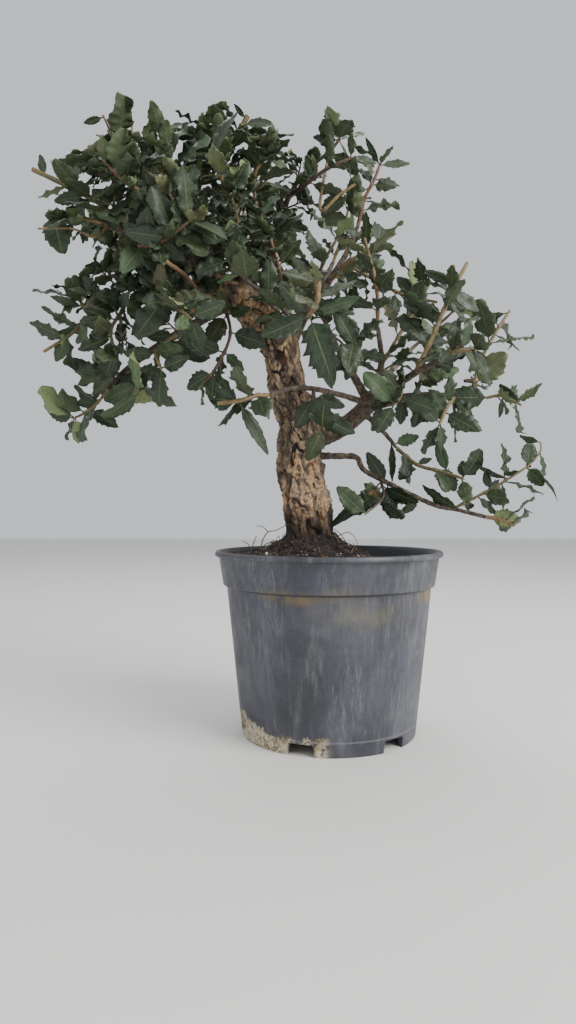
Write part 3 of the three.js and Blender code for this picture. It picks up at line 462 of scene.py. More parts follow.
# Where the trunk's cork is freshly broken: centre and reach; the patches are upright
FRESH_TALL = 0.42
FRESH_CORK = [
    ((-0.0145, -0.022, 0.226), 0.0062), ((-0.0145, -0.023, 0.208), 0.0062), ((-0.018, -0.023, 0.19), 0.0052),
    ((-0.026, -0.02, 0.218), 0.0048), ((-0.022, -0.024, 0.172), 0.0085), ((-0.004, -0.016, 0.196), 0.006),
    ((-0.037, -0.014, 0.198), 0.005), ((-0.005, -0.02, 0.17), 0.005), ((-0.033, -0.02, 0.322), 0.008),
    ((-0.066, -0.018, 0.356), 0.009), ((-0.05, -0.02, 0.342), 0.007),
]
# Where the pot is stained: centre, reach, colour and strength; the patches are wider than tall
STAIN_FLATNESS = 2.9
POT_STAINS = [
    ((-0.045, -0.073, 0.1205), 0.022, "70603d", 0.8),
    ((-0.026, -0.081, 0.1185), 0.022, "7a643b", 0.8),
    ((0.002, -0.086, 0.1205), 0.03, "6c6147", 0.5),
    ((0.077, -0.038, 0.117), 0.028, "7f653a", 0.95),
    ((0.026, -0.08, 0.106), 0.04, "676148", 0.5),
    ((0.0, -0.084, 0.107), 0.03, "62604c", 0.35),
]
# Upright streaks on the pot: colour, scale, length, two levels of the noise, strength and scale of patches
POT_STREAKS = [
    ("75767a", 110, 0.14, 0.5, 0.75, 0.5),
    ("2f3037", 80, 0.12, 0.52, 0.72, 0.5),
    ("83858a", 560, 0.035, 0.5, 0.68, 0.45, 22),
    ("85868b", 760, 0.04, 0.52, 0.7, 0.25, 40),
    ("303138", 430, 0.025, 0.5, 0.68, 0.6, 33),
]
# The mould line round the pot's foot, and the lime crust at its left
MOULD_LINE = 0.0115
LIME_AT = (-0.055, -0.05, 0.004)
LIME_REACH = 0.07
LIME_PEAK = (-0.074, -0.03, 0.012)

# Lime grains, in millimetres
LIME_GRAINS = 420
LIME_TOP = 13
LIME_SPREAD = 5
LIME_ARC = (-186, -103)


# Small helpers

def draws_from(seed):
    """Repeatable draws from 0 to 1, the CAD model's own."""
    state = [seed]

    def draw():
        state[0] = state[0] * 16807 % 2147483647
        return state[0] / 2147483647

    return draw


def mix(a, b, t):
    return a + (b - a) * t


def unit(v):
    return v / np.linalg.norm(v)


def smooth(low, high, value):
    t = np.clip((value - low) / (high - low), 0, 1)
    return t * t * (3 - 2 * t)


class Path:
    """A smooth line through points in millimetres."""

    def __init__(self, points):
        p = np.array(points, float)
        self.points = np.vstack([2 * p[0] - p[1], p, 2 * p[-1] - p[-2]])
        self.spans = len(p) - 1

    def at(self, t):
        place = np.asarray(t, float) * self.spans
        span = np.minimum(np.floor(place).astype(int), self.spans - 1)
        w = (place - span)[..., None]
        p0, p1, p2, p3 = (self.points[span + k] for k in range(4))
        t0, t1 = (p2 - p0) / 2, (p3 - p1) / 2
        return p1 + t0 * w + (-3 * p1 + 3 * p2 - 2 * t0 - t1) * w**2 + (2 * p1 - 2 * p2 + t0 + t1) * w**3

    def length(self):
        steps = self.at(np.linspace(0, 1, 61))
        return float(np.linalg.norm(np.diff(steps, axis=0), axis=1).sum())

    def tangent(self, t):
        return unit(self.at(min(1, t + 0.01)) - self.at(max(0, t - 0.01)))


def across_of(tangent):
    """A level direction across a line, or any across an upright one."""
    side = np.cross(tangent, [0, 0, 1])
    if np.linalg.norm(side) < 0.2:
        side = np.cross(tangent, [0, 1, 0])
    return unit(side)


def around(sides):
    """The angles of a ring's corners."""
    return 2 * math.pi * np.arange(sides) / sides


def frames(path, shares):
    """Each share of a path with its place there and two directions across it, which turn smoothly."""
    side = across_of(path.tangent(0))
    for t in shares:
        tangent = path.tangent(t)
        side = unit(side - tangent * side.dot(tangent))
        yield t, path.at(t), side, np.cross(side, tangent)


def ring_at(place, side, up, radius, angles):
    return place + np.outer(radius * np.cos(angles), side) + np.outer(radius * np.sin(angles), up)


def level_ring(radius, z, angles):
    return np.column_stack([radius * np.cos(angles), radius * np.sin(angles), np.full(len(angles), z)])


def ring_faces(rings, sides, corners=(1, 3, 2, 0)):
    """The quads between rings: 0 is a corner, 1 the next one in its ring, and 2 and 3 are those above."""
    faces = []
    for i in range(rings - 1):
        for j in range(sides):
            a, b = i * sides + j, i * sides + (j + 1) % sides
            quad = (a, b, a + sides, b + sides)
            faces.append(tuple(quad[k] for k in corners))
    return faces


def tube_faces(rings, sides):
    """The faces of a tube with flat ends."""
    last = (rings - 1) * sides
    return ring_faces(rings, sides) + [tuple(range(sides)), tuple(last + j for j in reversed(range(sides)))]


def add_object(name, data):
    made = bpy.data.objects.new(name, data)
    bpy.context.scene.collection.objects.link(made)
    return made


class Shape:
    """Corners, faces and a note on each corner, which add up to one mesh."""

    def __init__(self):
        self.points = []
        self.faces = []
        self.kinds = []
        self.notes = []
        self.count = 0

    def add(self, points, faces, note=(0, 0, 0), kind=0):
        points = np.asarray(points, float)
        self.points.append(points)
        self.faces.extend(tuple(i + self.count for i in face) for face in faces)
        self.kinds.extend([kind] * len(faces) if np.isscalar(kind) else kind)
        self.notes.append(np.broadcast_to(np.asarray(note, float), (len(points), 3)))
        self.count += len(points)

    def piece(self, name, materials, attribute=None, flat=False):
        """The mesh as an object. The notes go with it under the attribute's name, if it has one."""
        mesh = bpy.data.meshes.new(name)
        mesh.from_pydata((np.vstack(self.points) * MM).tolist(), [], self.faces)
        if attribute:
            note = mesh.attributes.new(attribute, "FLOAT_VECTOR", "POINT")
            note.data.foreach_set("vector", np.vstack(self.notes).astype(np.float32).ravel())
        for material in materials:
            mesh.materials.append(material)
        mesh.polygons.foreach_set("material_index", self.kinds)
        mesh.polygons.foreach_set("use_smooth", [not flat] * len(mesh.polygons))
        mesh.update()
        return add_object(name, mesh)


def keep(piece, slot, *nodes):
    """Names the body that a piece rides on, which is the root, and the CAD nodes that it stands for, which
    it hides. Its slot is not used.
    """
    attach(piece, "root")
    if nodes:
        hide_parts(*nodes)
    return piece


def add_tube(shape, path, radius_at, sides, steps, note=(0, 0, 0)):
    """A closed round tube with flat ends."""
    angles = around(sides)
    shares = [i / steps for i in range(steps + 1)]
    rings = [ring_at(place, side, up, radius_at(t), angles) for t, place, side, up in frames(path, shares)]
    shape.add(np.vstack(rings), tube_faces(len(rings), sides), note)


def add_closed(shape, rings, first_z, last_z, corners, way):
    """Rings round the pot's axis, closed by a fan onto the axis at each end."""
    sides = len(rings[0])
    faces = ring_faces(len(rings), sides, corners)
    first, last, top = len(rings) * sides, len(rings) * sides + 1, (len(rings) - 1) * sides
    for j in range(sides):
        faces.append((first, (j + 1) % sides, j)[::way])
        faces.append((last, top + j, top + (j + 1) % sides)[::way])
    shape.add(np.vstack(rings + [[[0, 0, first_z], [0, 0, last_z]]]), faces)


# Shader helpers

def rgb(hexed):
    """A colour written as six hexadecimal digits, in linear light."""
    parts = [int(hexed[i:i + 2], 16) / 255 for i in (0, 2, 4)]
    return (*[p / 12.92 if p <= 0.04045 else ((p + 0.055) / 1.055) ** 2.4 for p in parts], 1.0)


class Shader:
    """A material with short calls for the nodes used here. A colour may be given as its six digits."""

    def __init__(self, name):
        self.material = bpy.data.materials.new(name)
        self.material.use_nodes = True
        self.tree = self.material.node_tree
        self.surface = self.tree.nodes["Principled BSDF"]

    def put(self, socket, value):
        if isinstance(value, bpy.types.NodeSocket):
            self.tree.links.new(value, socket)
        else:
            socket.default_value = rgb(value) if isinstance(value, str) else value

    def node(self, kind, values, **settings):
        made = self.tree.nodes.new(kind)
        for key, value in settings.items():
            setattr(made, key, value)
        for socket, value in values.items():
            self.put(made.inputs[socket], value)
        return made

    def math(self, operation, *values):
        return self.node("ShaderNodeMath", dict(enumerate(values)), operation=operation).outputs[0]

    def times(self, a, b):
        return self.math("MULTIPLY", a, b)

    def plus(self, a, b):
        return self.math("ADD", a, b)

    def minus(self, a, b):
        return self.math("SUBTRACT", a, b)

    def place(self, tall=1):
        """The piece's own coordinates in metres, or with upright ones that count less or more."""
        where = self.node("ShaderNodeTexCoord", {}).outputs["Object"]
        return self.node("ShaderNodeMapping", {"Vector": where, "Scale": (1, 1, tall)}).outputs[0]

    def parts(self, vector):
        return self.node("ShaderNodeSeparateXYZ", {"Vector": vector}).outputs

    def note(self, name):
        return self.parts(self.node("ShaderNodeAttribute", {}, attribute_name=name).outputs["Vector"])

    def noise(self, where, scale, detail=4.0, rough=0.55, warp=0.0):
        values = {"Vector": where, "Scale": scale, "Detail": detail, "Roughness": rough, "Distortion": warp}
        return self.node("ShaderNodeTexNoise", values).outputs[0]

    def cells(self, where, scale):
        return self.node("ShaderNodeTexVoronoi", {"Vector": where, "Scale": scale}).outputs[0]

    def spread(self, value, low, high, to_low=0.0, to_high=1.0):
        """A value between two levels, eased out to two others."""
        values = {0: value, 1: low, 2: high, 3: to_low, 4: to_high}
        return self.node("ShaderNodeMapRange", values, interpolation_type="SMOOTHSTEP").outputs[0]

    def blend(self, share, a, b):
        return self.node("ShaderNodeMix", {0: share, 6: a, 7: b}, data_type="RGBA").outputs[2]

    def tint(self, colour, over, value, low, high, share=1.0):
        """A colour with another one over it where a value rises from one level to the next."""
        return self.blend(self.spread(value, low, high, 0.0, share), colour, over)

    def cover(self, colour, over, amount, share):
        """A colour with a share of another one over it, by an amount from 0 to 1."""
        return self.blend(self.times(amount, share), colour, over)

    def ramp(self, value, stops):
        made = self.node("ShaderNodeValToRGB", {0: value})
        elements = made.color_ramp.elements
        first, *between, last = [(position, rgb(colour)) for position, colour in stops.items()]
        elements[0].position, elements[0].color = first
        elements[1].position, elements[1].color = last
        for position, colour in between:
            elements.new(position).color = colour
        return made.outputs[0]

    def near(self, where, centre, reach):
        """1 at a point of the piece, down to 0 at a reach away, in metres."""
        gap = self.node("ShaderNodeVectorMath", {0: where, 1: centre}, operation="DISTANCE").outputs["Value"]
        return self.spread(gap, 0.0, reach, 1.0, 0.0)

    def bump(self, height, depth, strength=1.0):
        values = {"Height": height, "Distance": depth, "Strength": strength}
        return self.node("ShaderNodeBump", values).outputs[0]

    def finish(self, colour, roughness, normal=None):
        self.put(self.surface.inputs["Base Color"], colour)
        self.put(self.surface.inputs["Roughness"], roughness)
        if normal is not None:
            self.put(self.surface.inputs["Normal"], normal)
        return self.material


# Materials

def vein_lines(s, side, along, low):
    """The rib and the paired side veins, from 0 to 1."""
    rib = s.spread(side, 0.015, 0.06, 1.0, 0.0)
    phase = s.math("FRACT", s.times(s.minus(along, s.times(side, VEIN_SLOPE)), VEIN_PAIRS + 0.5))
    line = s.spread(s.math("ABSOLUTE", s.minus(phase, 0.5)), low, 0.49)
    return s.math("MAXIMUM", rib, s.times(line, s.spread(side, 0.25, 0.95, 0.5, 0.05)))


def leaf_top_material():
    s = Shader("leaf_top")
    across, along, tone = s.note("blade")
    where = s.place()
    side = s.math("ABSOLUTE", across)
    veins = vein_lines(s, side, along, 0.43)
    green = s.ramp(tone, {0.0: "60744a", 0.03: "4c6040", 0.08: "3d4f37", 0.3: "293626",
                          0.55: "344430", 0.8: "253120", 0.95: "3e472d", 1.0: "4c4a31"})
    mottle = s.noise(where, 160, 5, 0.6)
    green = s.tint(green, "1c2819", mottle, 0.35, 0.75, 0.5)
    edge = s.times(s.spread(side, 0.82, 1.0), s.spread(s.noise(where, 220, 3), 0.45, 0.7))
    green = s.cover(green, "6b6437", edge, 0.4)
    spots = s.times(s.spread(s.noise(where, 170, 2), 0.66, 0.69), s.spread(tone, 0.86, 0.92))
    green = s.cover(green, "7c4a30", spots, 0.85)
    colour = s.cover(green, "7f8c56", veins, 0.5)
    bloom = s.noise(where, 90, 4, 0.6)
    height = s.minus(s.times(mottle, 0.3), veins)
    s.surface.inputs["Specular IOR Level"].default_value = 0.42
    return s.finish(colour, s.spread(bloom, 0.3, 0.75, 0.4, 0.62), s.bump(height, 0.00025, 0.7))


def leaf_under_material():
    s = Shader("leaf_under")
    across, along, tone = s.note("blade")
    where = s.place()
    veins = vein_lines(s, s.math("ABSOLUTE", across), along, 0.4)
    # Most undersides are painted a dark green-grey, which is painted shade over the felt's paler colour;
    # only the ramp's ends keep the felt's pale olive.
    felt_and_painted_shade = s.ramp(tone, {0.0: "808c5c", 0.08: "6b7a52", 0.14: "485539", 0.5: "3c4930",
                         0.85: "4a5339", 0.93: "76805a", 1.0: "8a8d64"})
    felt = s.noise(where, 700, 4, 0.7)
    felt_and_painted_shade = s.tint(felt_and_painted_shade, "364029", felt, 0.35, 0.7, 0.4)
    colour = s.cover(felt_and_painted_shade, "8b9468", veins, 0.4)
    height = s.plus(s.times(felt, 0.3), veins)
    return s.finish(colour, s.spread(felt, 0.3, 0.7, 0.68, 0.86), s.bump(height, 0.00025, 0.7))


def twig_material():
    s = Shader("twig")
    share, tone, cut = s.note("twig")
    where = s.place()
    bark = s.ramp(tone, {0.0: "4b4a2e", 0.2: "6c623f", 0.4: "85724f",
                         0.6: "765a42", 0.8: "573f35", 1.0: "382b28"})
    fleck = s.noise(where, 420, 5, 0.65)
    bark = s.tint(bark, "4a3a2d", fleck, 0.42, 0.68, 0.6)
    bark = s.tint(bark, "b7a27c", s.noise(where, 900, 2), 0.62, 0.7, 0.6)
    bark = s.cover(bark, "8b7450", s.spread(share, 0.8, 1.0), 0.45)
    wood = s.blend(s.noise(where, 1500, 3), "d8c49a", "a88a5c")
    colour = s.blend(cut, bark, wood)
    return s.finish(colour, s.spread(fleck, 0.3, 0.7, 0.6, 0.85), s.bump(fleck, 0.0004, 0.8))


def fresh_cork(s):
    """From 0 to 1 where the cork is freshly broken."""
    upright = s.place(FRESH_TALL)
    amount = 0.0
    for (x, y, z), reach in FRESH_CORK:
        spot = s.spread(s.near(upright, (x, y, z * FRESH_TALL), 1.7 * reach), 0.15, 0.5)
        amount = s.math("MAXIMUM", amount, spot)
    return amount


def bark_material():
    """Ridged cork on the trunk, with dark fissures and fresh patches, and smoother bark on the limbs."""
    s = Shader("bark")
    height, cork, tone = s.note("cork")
    where = s.place()
    tall = s.place(0.4)
    grain = s.noise(tall, 420, 7, 0.7, 0.4)
    fine = s.noise(where, 1100, 5, 0.7)
    ridge = s.ramp(tone, {0.0: "584d46", 0.3: "766759", 0.5: "978370", 0.7: "cbad88", 1.0: "84756a"})
    fresh = s.times(fresh_cork(s), s.spread(s.noise(where, 150, 5, 0.7), 0.42, 0.56))
    ridge = s.cover(ridge, "f0c99b", fresh, 0.85)
    flakes = s.times(s.spread(s.noise(where, 330, 4, 0.6, 1.5), 0.52, 0.6), fresh)
    ridge = s.cover(ridge, "9c5a30", flakes, 0.85)
    ridge = s.tint(ridge, "4b3f35", grain, 0.48, 0.68, 0.6)
    ridge = s.tint(ridge, "dcc096", s.noise(tall, 240, 5, 0.6), 0.54, 0.68, 0.7)
    rust = s.times(s.spread(s.noise(tall, 50, 4), 0.52, 0.62), s.spread(fine, 0.4, 0.6))
    rust = s.math("MAXIMUM", rust, s.times(fresh, 0.9))
    fissure = s.blend(rust, "2b2320", "9a4f28")
    rough_bark = s.tint(fissure, ridge, s.plus(height, s.times(grain, 0.35)), 0.4, 0.7)
    smooth_bark = s.tint("564a41", "867868", s.noise(where, 210, 5, 0.6), 0.38, 0.66)
    smooth_bark = s.tint(smooth_bark, "2f2722", grain, 0.45, 0.68, 0.7)
    colour = s.tint(smooth_bark, rough_bark, cork, 0.15, 0.5)
    shade = s.spread(s.noise(s.place(0.35), 42, 4, 0.6), 0.5, 0.66, 0.0, 0.55)
    colour = s.blend(s.times(shade, s.minus(1.0, s.times(fresh, 0.8))), colour, "362d27")
    level = s.plus(s.parts(where)[2], s.times(s.noise(where, 60, 5), 0.03))
    colour = s.blend(s.spread(level, 0.183, 0.208, 0.85, 0.0), colour, "211a17")
    relief = s.bump(s.plus(grain, s.times(fine, 0.6)), 0.0018)
    return s.finish(colour, s.spread(fine, 0.3, 0.7, 0.82, 0.97), relief)


def soil_material():
    s = Shader("soil")
    where = s.place()
    crumb = s.noise(where, 260, 8, 0.7)
    colour = s.ramp(crumb, {0.3: "1e1b1d", 0.5: "332d2f", 0.62: "504745", 0.78: "766a64"})
    colour = s.blend(s.spread(s.cells(where, 700), 0.0, 0.22, 0.4, 0.0), colour, "6e5844")
    height = s.plus(crumb, s.times(s.noise(where, 1100, 4), 0.5))
    return s.finish(colour, s.spread(crumb, 0.3, 0.7, 0.9, 1.0), s.bump(height, 0.002))


def litter_material():
    """Chips, crumbs and fibres, each with its own tone."""
    s = Shader("litter")
    tone, shade, _ = s.note("litter")
    colour = s.ramp(tone, {0.0: "201c1d", 0.35: "463d3a", 0.55: "6b5a4d", 0.72: "845f42",
                           0.86: "b49a74", 0.95: "cfc8ba", 1.0: "e6e2d8"})
    grain = s.noise(s.place(), 1300, 5, 0.7)
    colour = s.tint(colour, "2a1f19", grain, 0.4, 0.7, 0.55)
    colour = s.cover(colour, "120d0b", shade, 0.4)
    return s.finish(colour, s.spread(grain, 0.3, 0.7, 0.82, 0.98), s.bump(grain, 0.0006, 0.9))


def streaks_on(s, colour, over, scale, length, low, high, share, patches=None):
    """Upright lines of one colour over another, all over or in patches."""
    amount = s.spread(s.noise(s.place(length), scale, 6, 0.7, 0.25), low, high, 0.0, share)
    if patches:
        amount = s.times(amount, s.spread(s.noise(s.place(0.4), patches, 4, 0.6), 0.42, 0.62))
    return s.blend(amount, colour, over)


def pot_lime(s, where, level):
    """The mineral crust at the left foot of the pot, from 0 to 1."""
    ragged = s.times(s.noise(where, 80, 7, 0.75), 0.036)
    raised = s.times(s.near(where, LIME_PEAK, 0.05), -0.009)
    low = s.spread(s.plus(s.plus(level, ragged), raised), 0.029, 0.031, 1.0, 0.0)
    beside = s.spread(s.near(where, LIME_AT, LIME_REACH), 0.05, 0.2)
    holes = s.spread(s.noise(where, 190, 5, 0.7), 0.38, 0.46)
    return s.times(s.times(low, beside), holes)


def pot_material():
    """Dark blue-grey plastic, chalky with age, with streaks and mineral stains."""
    s = Shader("pot_plastic")
    where = s.place()
    level = s.parts(where)[2]
    cloud = s.noise(s.place(0.6), 24, 6, 0.65, 0.4)
    dust = s.noise(where, 520, 6, 0.75)
    colour = s.ramp(cloud, {0.3: "2f3036", 0.45: "3b3c43", 0.58: "494a51", 0.75: "5b5c62"})
    for streak in POT_STREAKS:
        colour = streaks_on(s, colour, *streak)
    colour = s.tint(colour, "434a5e", s.noise(where, 30, 4), 0.56, 0.7, 0.25)
    colour = s.tint(colour, "8f9094", dust, 0.55, 0.78, 0.3)
    gap = s.math("ABSOLUTE", s.minus(level, MOULD_LINE))
    colour = s.blend(s.spread(gap, 0.0002, 0.0011, 0.3, 0.0), colour, "8d8f93")
    flat = s.place(STAIN_FLATNESS)
    for (x, y, z), reach, stain, share in POT_STAINS:
        spot = s.near(flat, (x, y, z * STAIN_FLATNESS), reach)
        patch = s.times(spot, s.spread(s.noise(where, 110, 5, 0.75), 0.3, 0.6))
        colour = s.cover(colour, stain, patch, share)
    lime = pot_lime(s, where, level)
    crust = s.tint("c6bca6", "8d7a57", s.noise(where, 55, 5, 0.7), 0.42, 0.58)
    crust = s.tint(crust, "7b7466", s.noise(where, 420, 4, 0.7), 0.5, 0.66, 0.6)
    colour = s.cover(colour, crust, lime, 0.94)
    specks = s.times(s.spread(s.cells(where, 420), 0.03, 0.07, 1.0, 0.0), s.spread(level, 0.118, 0.13))
    specks = s.times(specks, s.spread(s.noise(where, 45, 2), 0.6, 0.68))
    colour = s.cover(colour, "bdbcb6", specks, 0.7)
    gloss = s.spread(s.noise(where, 70, 5, 0.7), 0.3, 0.75, 0.44, 0.66)
    height = s.plus(s.times(dust, 0.4), s.times(lime, 2.5))
    return s.finish(colour, s.plus(gloss, s.times(lime, 0.3)), s.bump(height, 0.0004, 0.6))


def inside_shade_material():
    # The same plastic as outside, painted darker: painted shade inside the pot.
    s = Shader("pot_inside_painted_shade")
    cloud = s.noise(s.place(), 40, 5, 0.6)
    colour = s.tint("1c1e24", "2b2d34", cloud, 0.35, 0.7)
    colour = streaks_on(s, colour, "4a4b50", 160, 0.2, 0.6, 0.72, 0.4)
    return s.finish(colour, s.spread(cloud, 0.3, 0.7, 0.35, 0.55), s.bump(cloud, 0.0003, 0.4))


def lime_material():
    s = Shader("lime")
    where = s.place()
    grain = s.noise(where, 900, 6, 0.75)
    colour = s.tint("d6cdb8", "a79a80", grain, 0.35, 0.7)
    colour = s.tint(colour, "8a7654", s.noise(where, 260, 3), 0.55, 0.68)
    return s.finish(colour, s.spread(grain, 0.3, 0.7, 0.86, 0.98), s.bump(grain, 0.0006, 0.9))


def stage_material():
    s = Shader("stage")
    return s.finish(s.blend(s.noise(s.place(), 3, 3), "e3e2df", "dddcd9"), 0.7)


# Pot

def arc(centre, radius, start, end, steps):
    """Points of a round stretch of the profile, its angles in degrees."""
    angles = np.radians(np.linspace(start, end, steps))
    return [[centre[0] + radius * math.cos(a), centre[1] + radius * math.sin(a)] for a in angles]


def straight(a, b, steps):
    """Points of a straight stretch of the profile, without its end."""
    return [[mix(a[0], b[0], i / steps), mix(a[1], b[1], i / steps)] for i in range(steps)]


def inner_wall(z):
    """Radius of the pot's inside at a height."""
    low = CHANNEL_HEIGHT + WALL
    return mix(BASE_RADIUS - 1.4, BODY_RADIUS_TOP - 1.7, (z - low) / (COLLAR_BOTTOM - COLLAR_STEP - low))


def pot_profile():
    """The wall's section, from the middle of the underside round to the middle of the floor."""
    lip_bottom = POT_HEIGHT - LIP_HEIGHT
    lip_inner = RIM_RADIUS - LIP_PROUD
    shoulder = COLLAR_BOTTOM - COLLAR_STEP
    ledge = COLLAR_BOTTOM - 1.2
    floor_top = CHANNEL_HEIGHT + WALL
    channel_inner = PAD_RADIUS + CHANNEL_SLOPE
    skirt_inner = BASE_RADIUS - SKIRT_WALL
    out = [[0, 0], [PAD_RADIUS - 0.8, 0], [PAD_RADIUS, 0.6]]
    out += [[channel_inner - 0.5, CHANNEL_HEIGHT - 0.6], [channel_inner + 0.6, CHANNEL_HEIGHT]]
    out += [[skirt_inner - 2.6, CHANNEL_HEIGHT], [skirt_inner, 0.5], [skirt_inner + 0.6, 0]]
    out += arc([BASE_RADIUS - 0.7, 0.7], 0.7, -90, 0, 4)
    out += straight([BASE_RADIUS + 0.1, 2], [BODY_RADIUS_TOP, shoulder - 1], 26)
    out += [[BODY_RADIUS_TOP, shoulder - 1], [BODY_RADIUS_TOP + 0.25, ledge - 1.2]]
    out += [[BODY_RADIUS_TOP + 0.8, ledge - 0.3], [COLLAR_RADIUS_BOTTOM - 1.2, ledge]]
    out += arc([COLLAR_RADIUS_BOTTOM - 1.2, ledge + 1.2], 1.2, -72, 0, 5)
    collar_top = [COLLAR_RADIUS_TOP, lip_bottom - 0.6]
    out += straight([COLLAR_RADIUS_BOTTOM + 0.05, COLLAR_BOTTOM + 1], collar_top, 6)
    out += [collar_top, [COLLAR_RADIUS_TOP + 0.5, lip_bottom - 0.1]]
    out += arc([RIM_RADIUS - 1.7, lip_bottom + 1.8], 1.7, -75, 30, 6)
    out += arc([RIM_RADIUS - 2.0, POT_HEIGHT - 1.7], 1.7, 20, 90, 5)
    out += [[lip_inner + 0.4, POT_HEIGHT - 0.1], [lip_inner - 0.3, POT_HEIGHT - 0.7]]
    out += [[COLLAR_RADIUS_TOP - WALL - 0.3, lip_bottom], [COLLAR_RADIUS_BOTTOM - WALL, COLLAR_BOTTOM - 0.5]]
    out += [[inner_wall(shoulder), shoulder]]
    out += straight([inner_wall(shoulder - 10), shoulder - 10], [inner_wall(floor_top), floor_top], 4)
    out += [[inner_wall(floor_top), floor_top], [channel_inner - 1, floor_top], [PAD_RADIUS - 1, WALL]]
    return out + [[0, WALL]]


def pot_body():
    """The pot without its notches: the profile turned round the axis, a little out of round."""
    profile = pot_profile()
    angles = around(POT_SIDES)
    rings = []
    for radius, z in profile[1:-1]:
        places = [Vector((1.6 * math.cos(a), 1.6 * math.sin(a), z / 60)) for a in angles]
        push = np.array([POT_WOBBLE * noise.noise(place) for place in places])
        rings.append(level_ring(radius + push, z, angles))
    shape = Shape()
    add_closed(shape, rings, profile[0][1], profile[-1][1], (0, 1, 3, 2), 1)
    return shape.piece("pot_shell", [pot_material(), inside_shade_material()])


def notch_cutter():
    """The six openings in the skirt as one cutter, with round upper corners."""
    shape = Shape()
    half = NOTCH_WIDTH / 2
    corner = NOTCH_HEIGHT - NOTCH_ROUND
    outline = [[-half, -1], [half, -1]]
    outline += arc([half - NOTCH_ROUND, corner], NOTCH_ROUND, 0, 90, 5)
    outline += arc([-half + NOTCH_ROUND, corner], NOTCH_ROUND, 90, 180, 5)
    near, far = BASE_RADIUS + 1 - NOTCH_DEPTH, BASE_RADIUS + 4
    count = len(outline)
    for i in range(NOTCH_COUNT):
        turn = math.radians(FIRST_NOTCH_DEG + 360 / NOTCH_COUNT * i)
        points = []
        for radius in (near, far):
            for side, z in outline:
                points.append([radius * math.cos(turn) - side * math.sin(turn),
                               radius * math.sin(turn) + side * math.cos(turn), z])
        faces = [tuple(reversed(range(count))), tuple(range(count, 2 * count))]
        faces += [(j, (j + 1) % count, count + (j + 1) % count, count + j) for j in range(count)]
        shape.add(points, faces)
    return shape.piece("notch_cutter", [], flat=True)


def apply_modifiers(piece):
    """Turns a piece's modifiers into its mesh."""
    graph = bpy.context.evaluated_depsgraph_get()
    made = bpy.data.meshes.new_from_object(piece.evaluated_get(graph))
    old = piece.data
    piece.modifiers.clear()
    piece.data = made
    bpy.data.meshes.remove(old)


def make_pot():
    """The pot with its notches cut, its inside in a cleaner copy of the plastic, painted darker as shade."""
    pot = pot_body()
    cutter = notch_cutter()
    cut = pot.modifiers.new("notches", "BOOLEAN")
    cut.operation = "DIFFERENCE"
    cut.solver = "EXACT"
    cut.object = cutter
    apply_modifiers(pot)
    bpy.data.objects.remove(cutter)
    # Faces inside the pot below the rim take the darker copy of the plastic, which is painted shade.
    for face in pot.data.polygons:
        outward = Vector((face.center.x, face.center.y, 0)).normalized()
        inside = face.normal.dot(outward) < -0.25 or face.normal.z > 0.5
        face.material_index = 1 if inside and face.center.z < INSIDE_TOP * MM else 0
        face.use_smooth = True
    pot.data.set_sharp_from_angle(angle=math.radians(SHARP_FROM_DEG))
    keep(pot, "pot", "pot")


# Soil

def soil_height(x, y):
    """Height of the CAD model's soil: a mound round the trunk, lower at the right."""
    away = np.hypot(x - FOOT_X, y - FOOT_Y)
    mound = MOUND_HEIGHT * np.exp(-((away / MOUND_SPREAD) ** 2))
    sink = SOIL_SINK_RIGHT * smooth(-5, 70, x + 0.4 * y)
    lumps = SOIL_LUMP * (np.sin(0.19 * x + 1.3) * np.cos(0.23 * y) + 0.6 * np.sin(0.31 * y - 0.2 * x))
    return SOIL_LEVEL + mound - sink + lumps


def heap_height(x, y):
    """Loose peat heaped against the trunk, on top of the CAD model's soil."""
    away = np.hypot(x - FOOT_X, y - FOOT_Y)
    return HEAP_HEIGHT * np.exp(-((away / HEAP_SPREAD) ** 4))


def crumbs_at(x, y):
    """Height of the peat's clods and crumbs."""
    clods = noise.fractal(Vector((x / 9, y / 9, 3.1)), 0.7, 2.1, 5)
    cells = noise.voronoi(Vector((x / 5.5, y / 5.5, 0.4)))[0]
    near_trunk = math.exp(-(((x - FOOT_X) ** 2 + (y - FOOT_Y) ** 2) / 1500))
    return (1.8 + 3.4 * near_trunk) * clods + (1.6 + 1.2 * near_trunk) * (0.55 - cells[0])


def ground_height(x, y):
    return float(soil_height(x, y) + heap_height(x, y)) + crumbs_at(x, y)


def make_soil(material):
    angles = around(SOIL_SIDES)
    rings = []
    for radius in np.append(np.arange(SOIL_STEP, SOIL_RADIUS, SOIL_STEP), SOIL_RADIUS):
        x, y = radius * np.cos(angles), radius * np.sin(angles)
        edge = smooth(SOIL_RADIUS + 0.1, SOIL_RADIUS - 5, radius)
        rough = np.array([crumbs_at(a, b) for a, b in zip(x, y)]) * (0.35 + 0.65 * edge)
        rings.append(np.column_stack([x, y, soil_height(x, y) + heap_height(x, y) + rough]))
    rings.append(level_ring(SOIL_RADIUS, COLLAR_BOTTOM, angles))
    for z in (COLLAR_BOTTOM - COLLAR_STEP, SOIL_FLOOR):
        rings.append(level_ring(inner_wall(z) - SOIL_GAP, z, angles))
    shape = Shape()
    add_closed(shape, rings, ground_height(0, 0), SOIL_FLOOR, (0, 2, 3, 1), -1)
    keep(shape.piece("soil_peat", [material]), "soil", "soil")


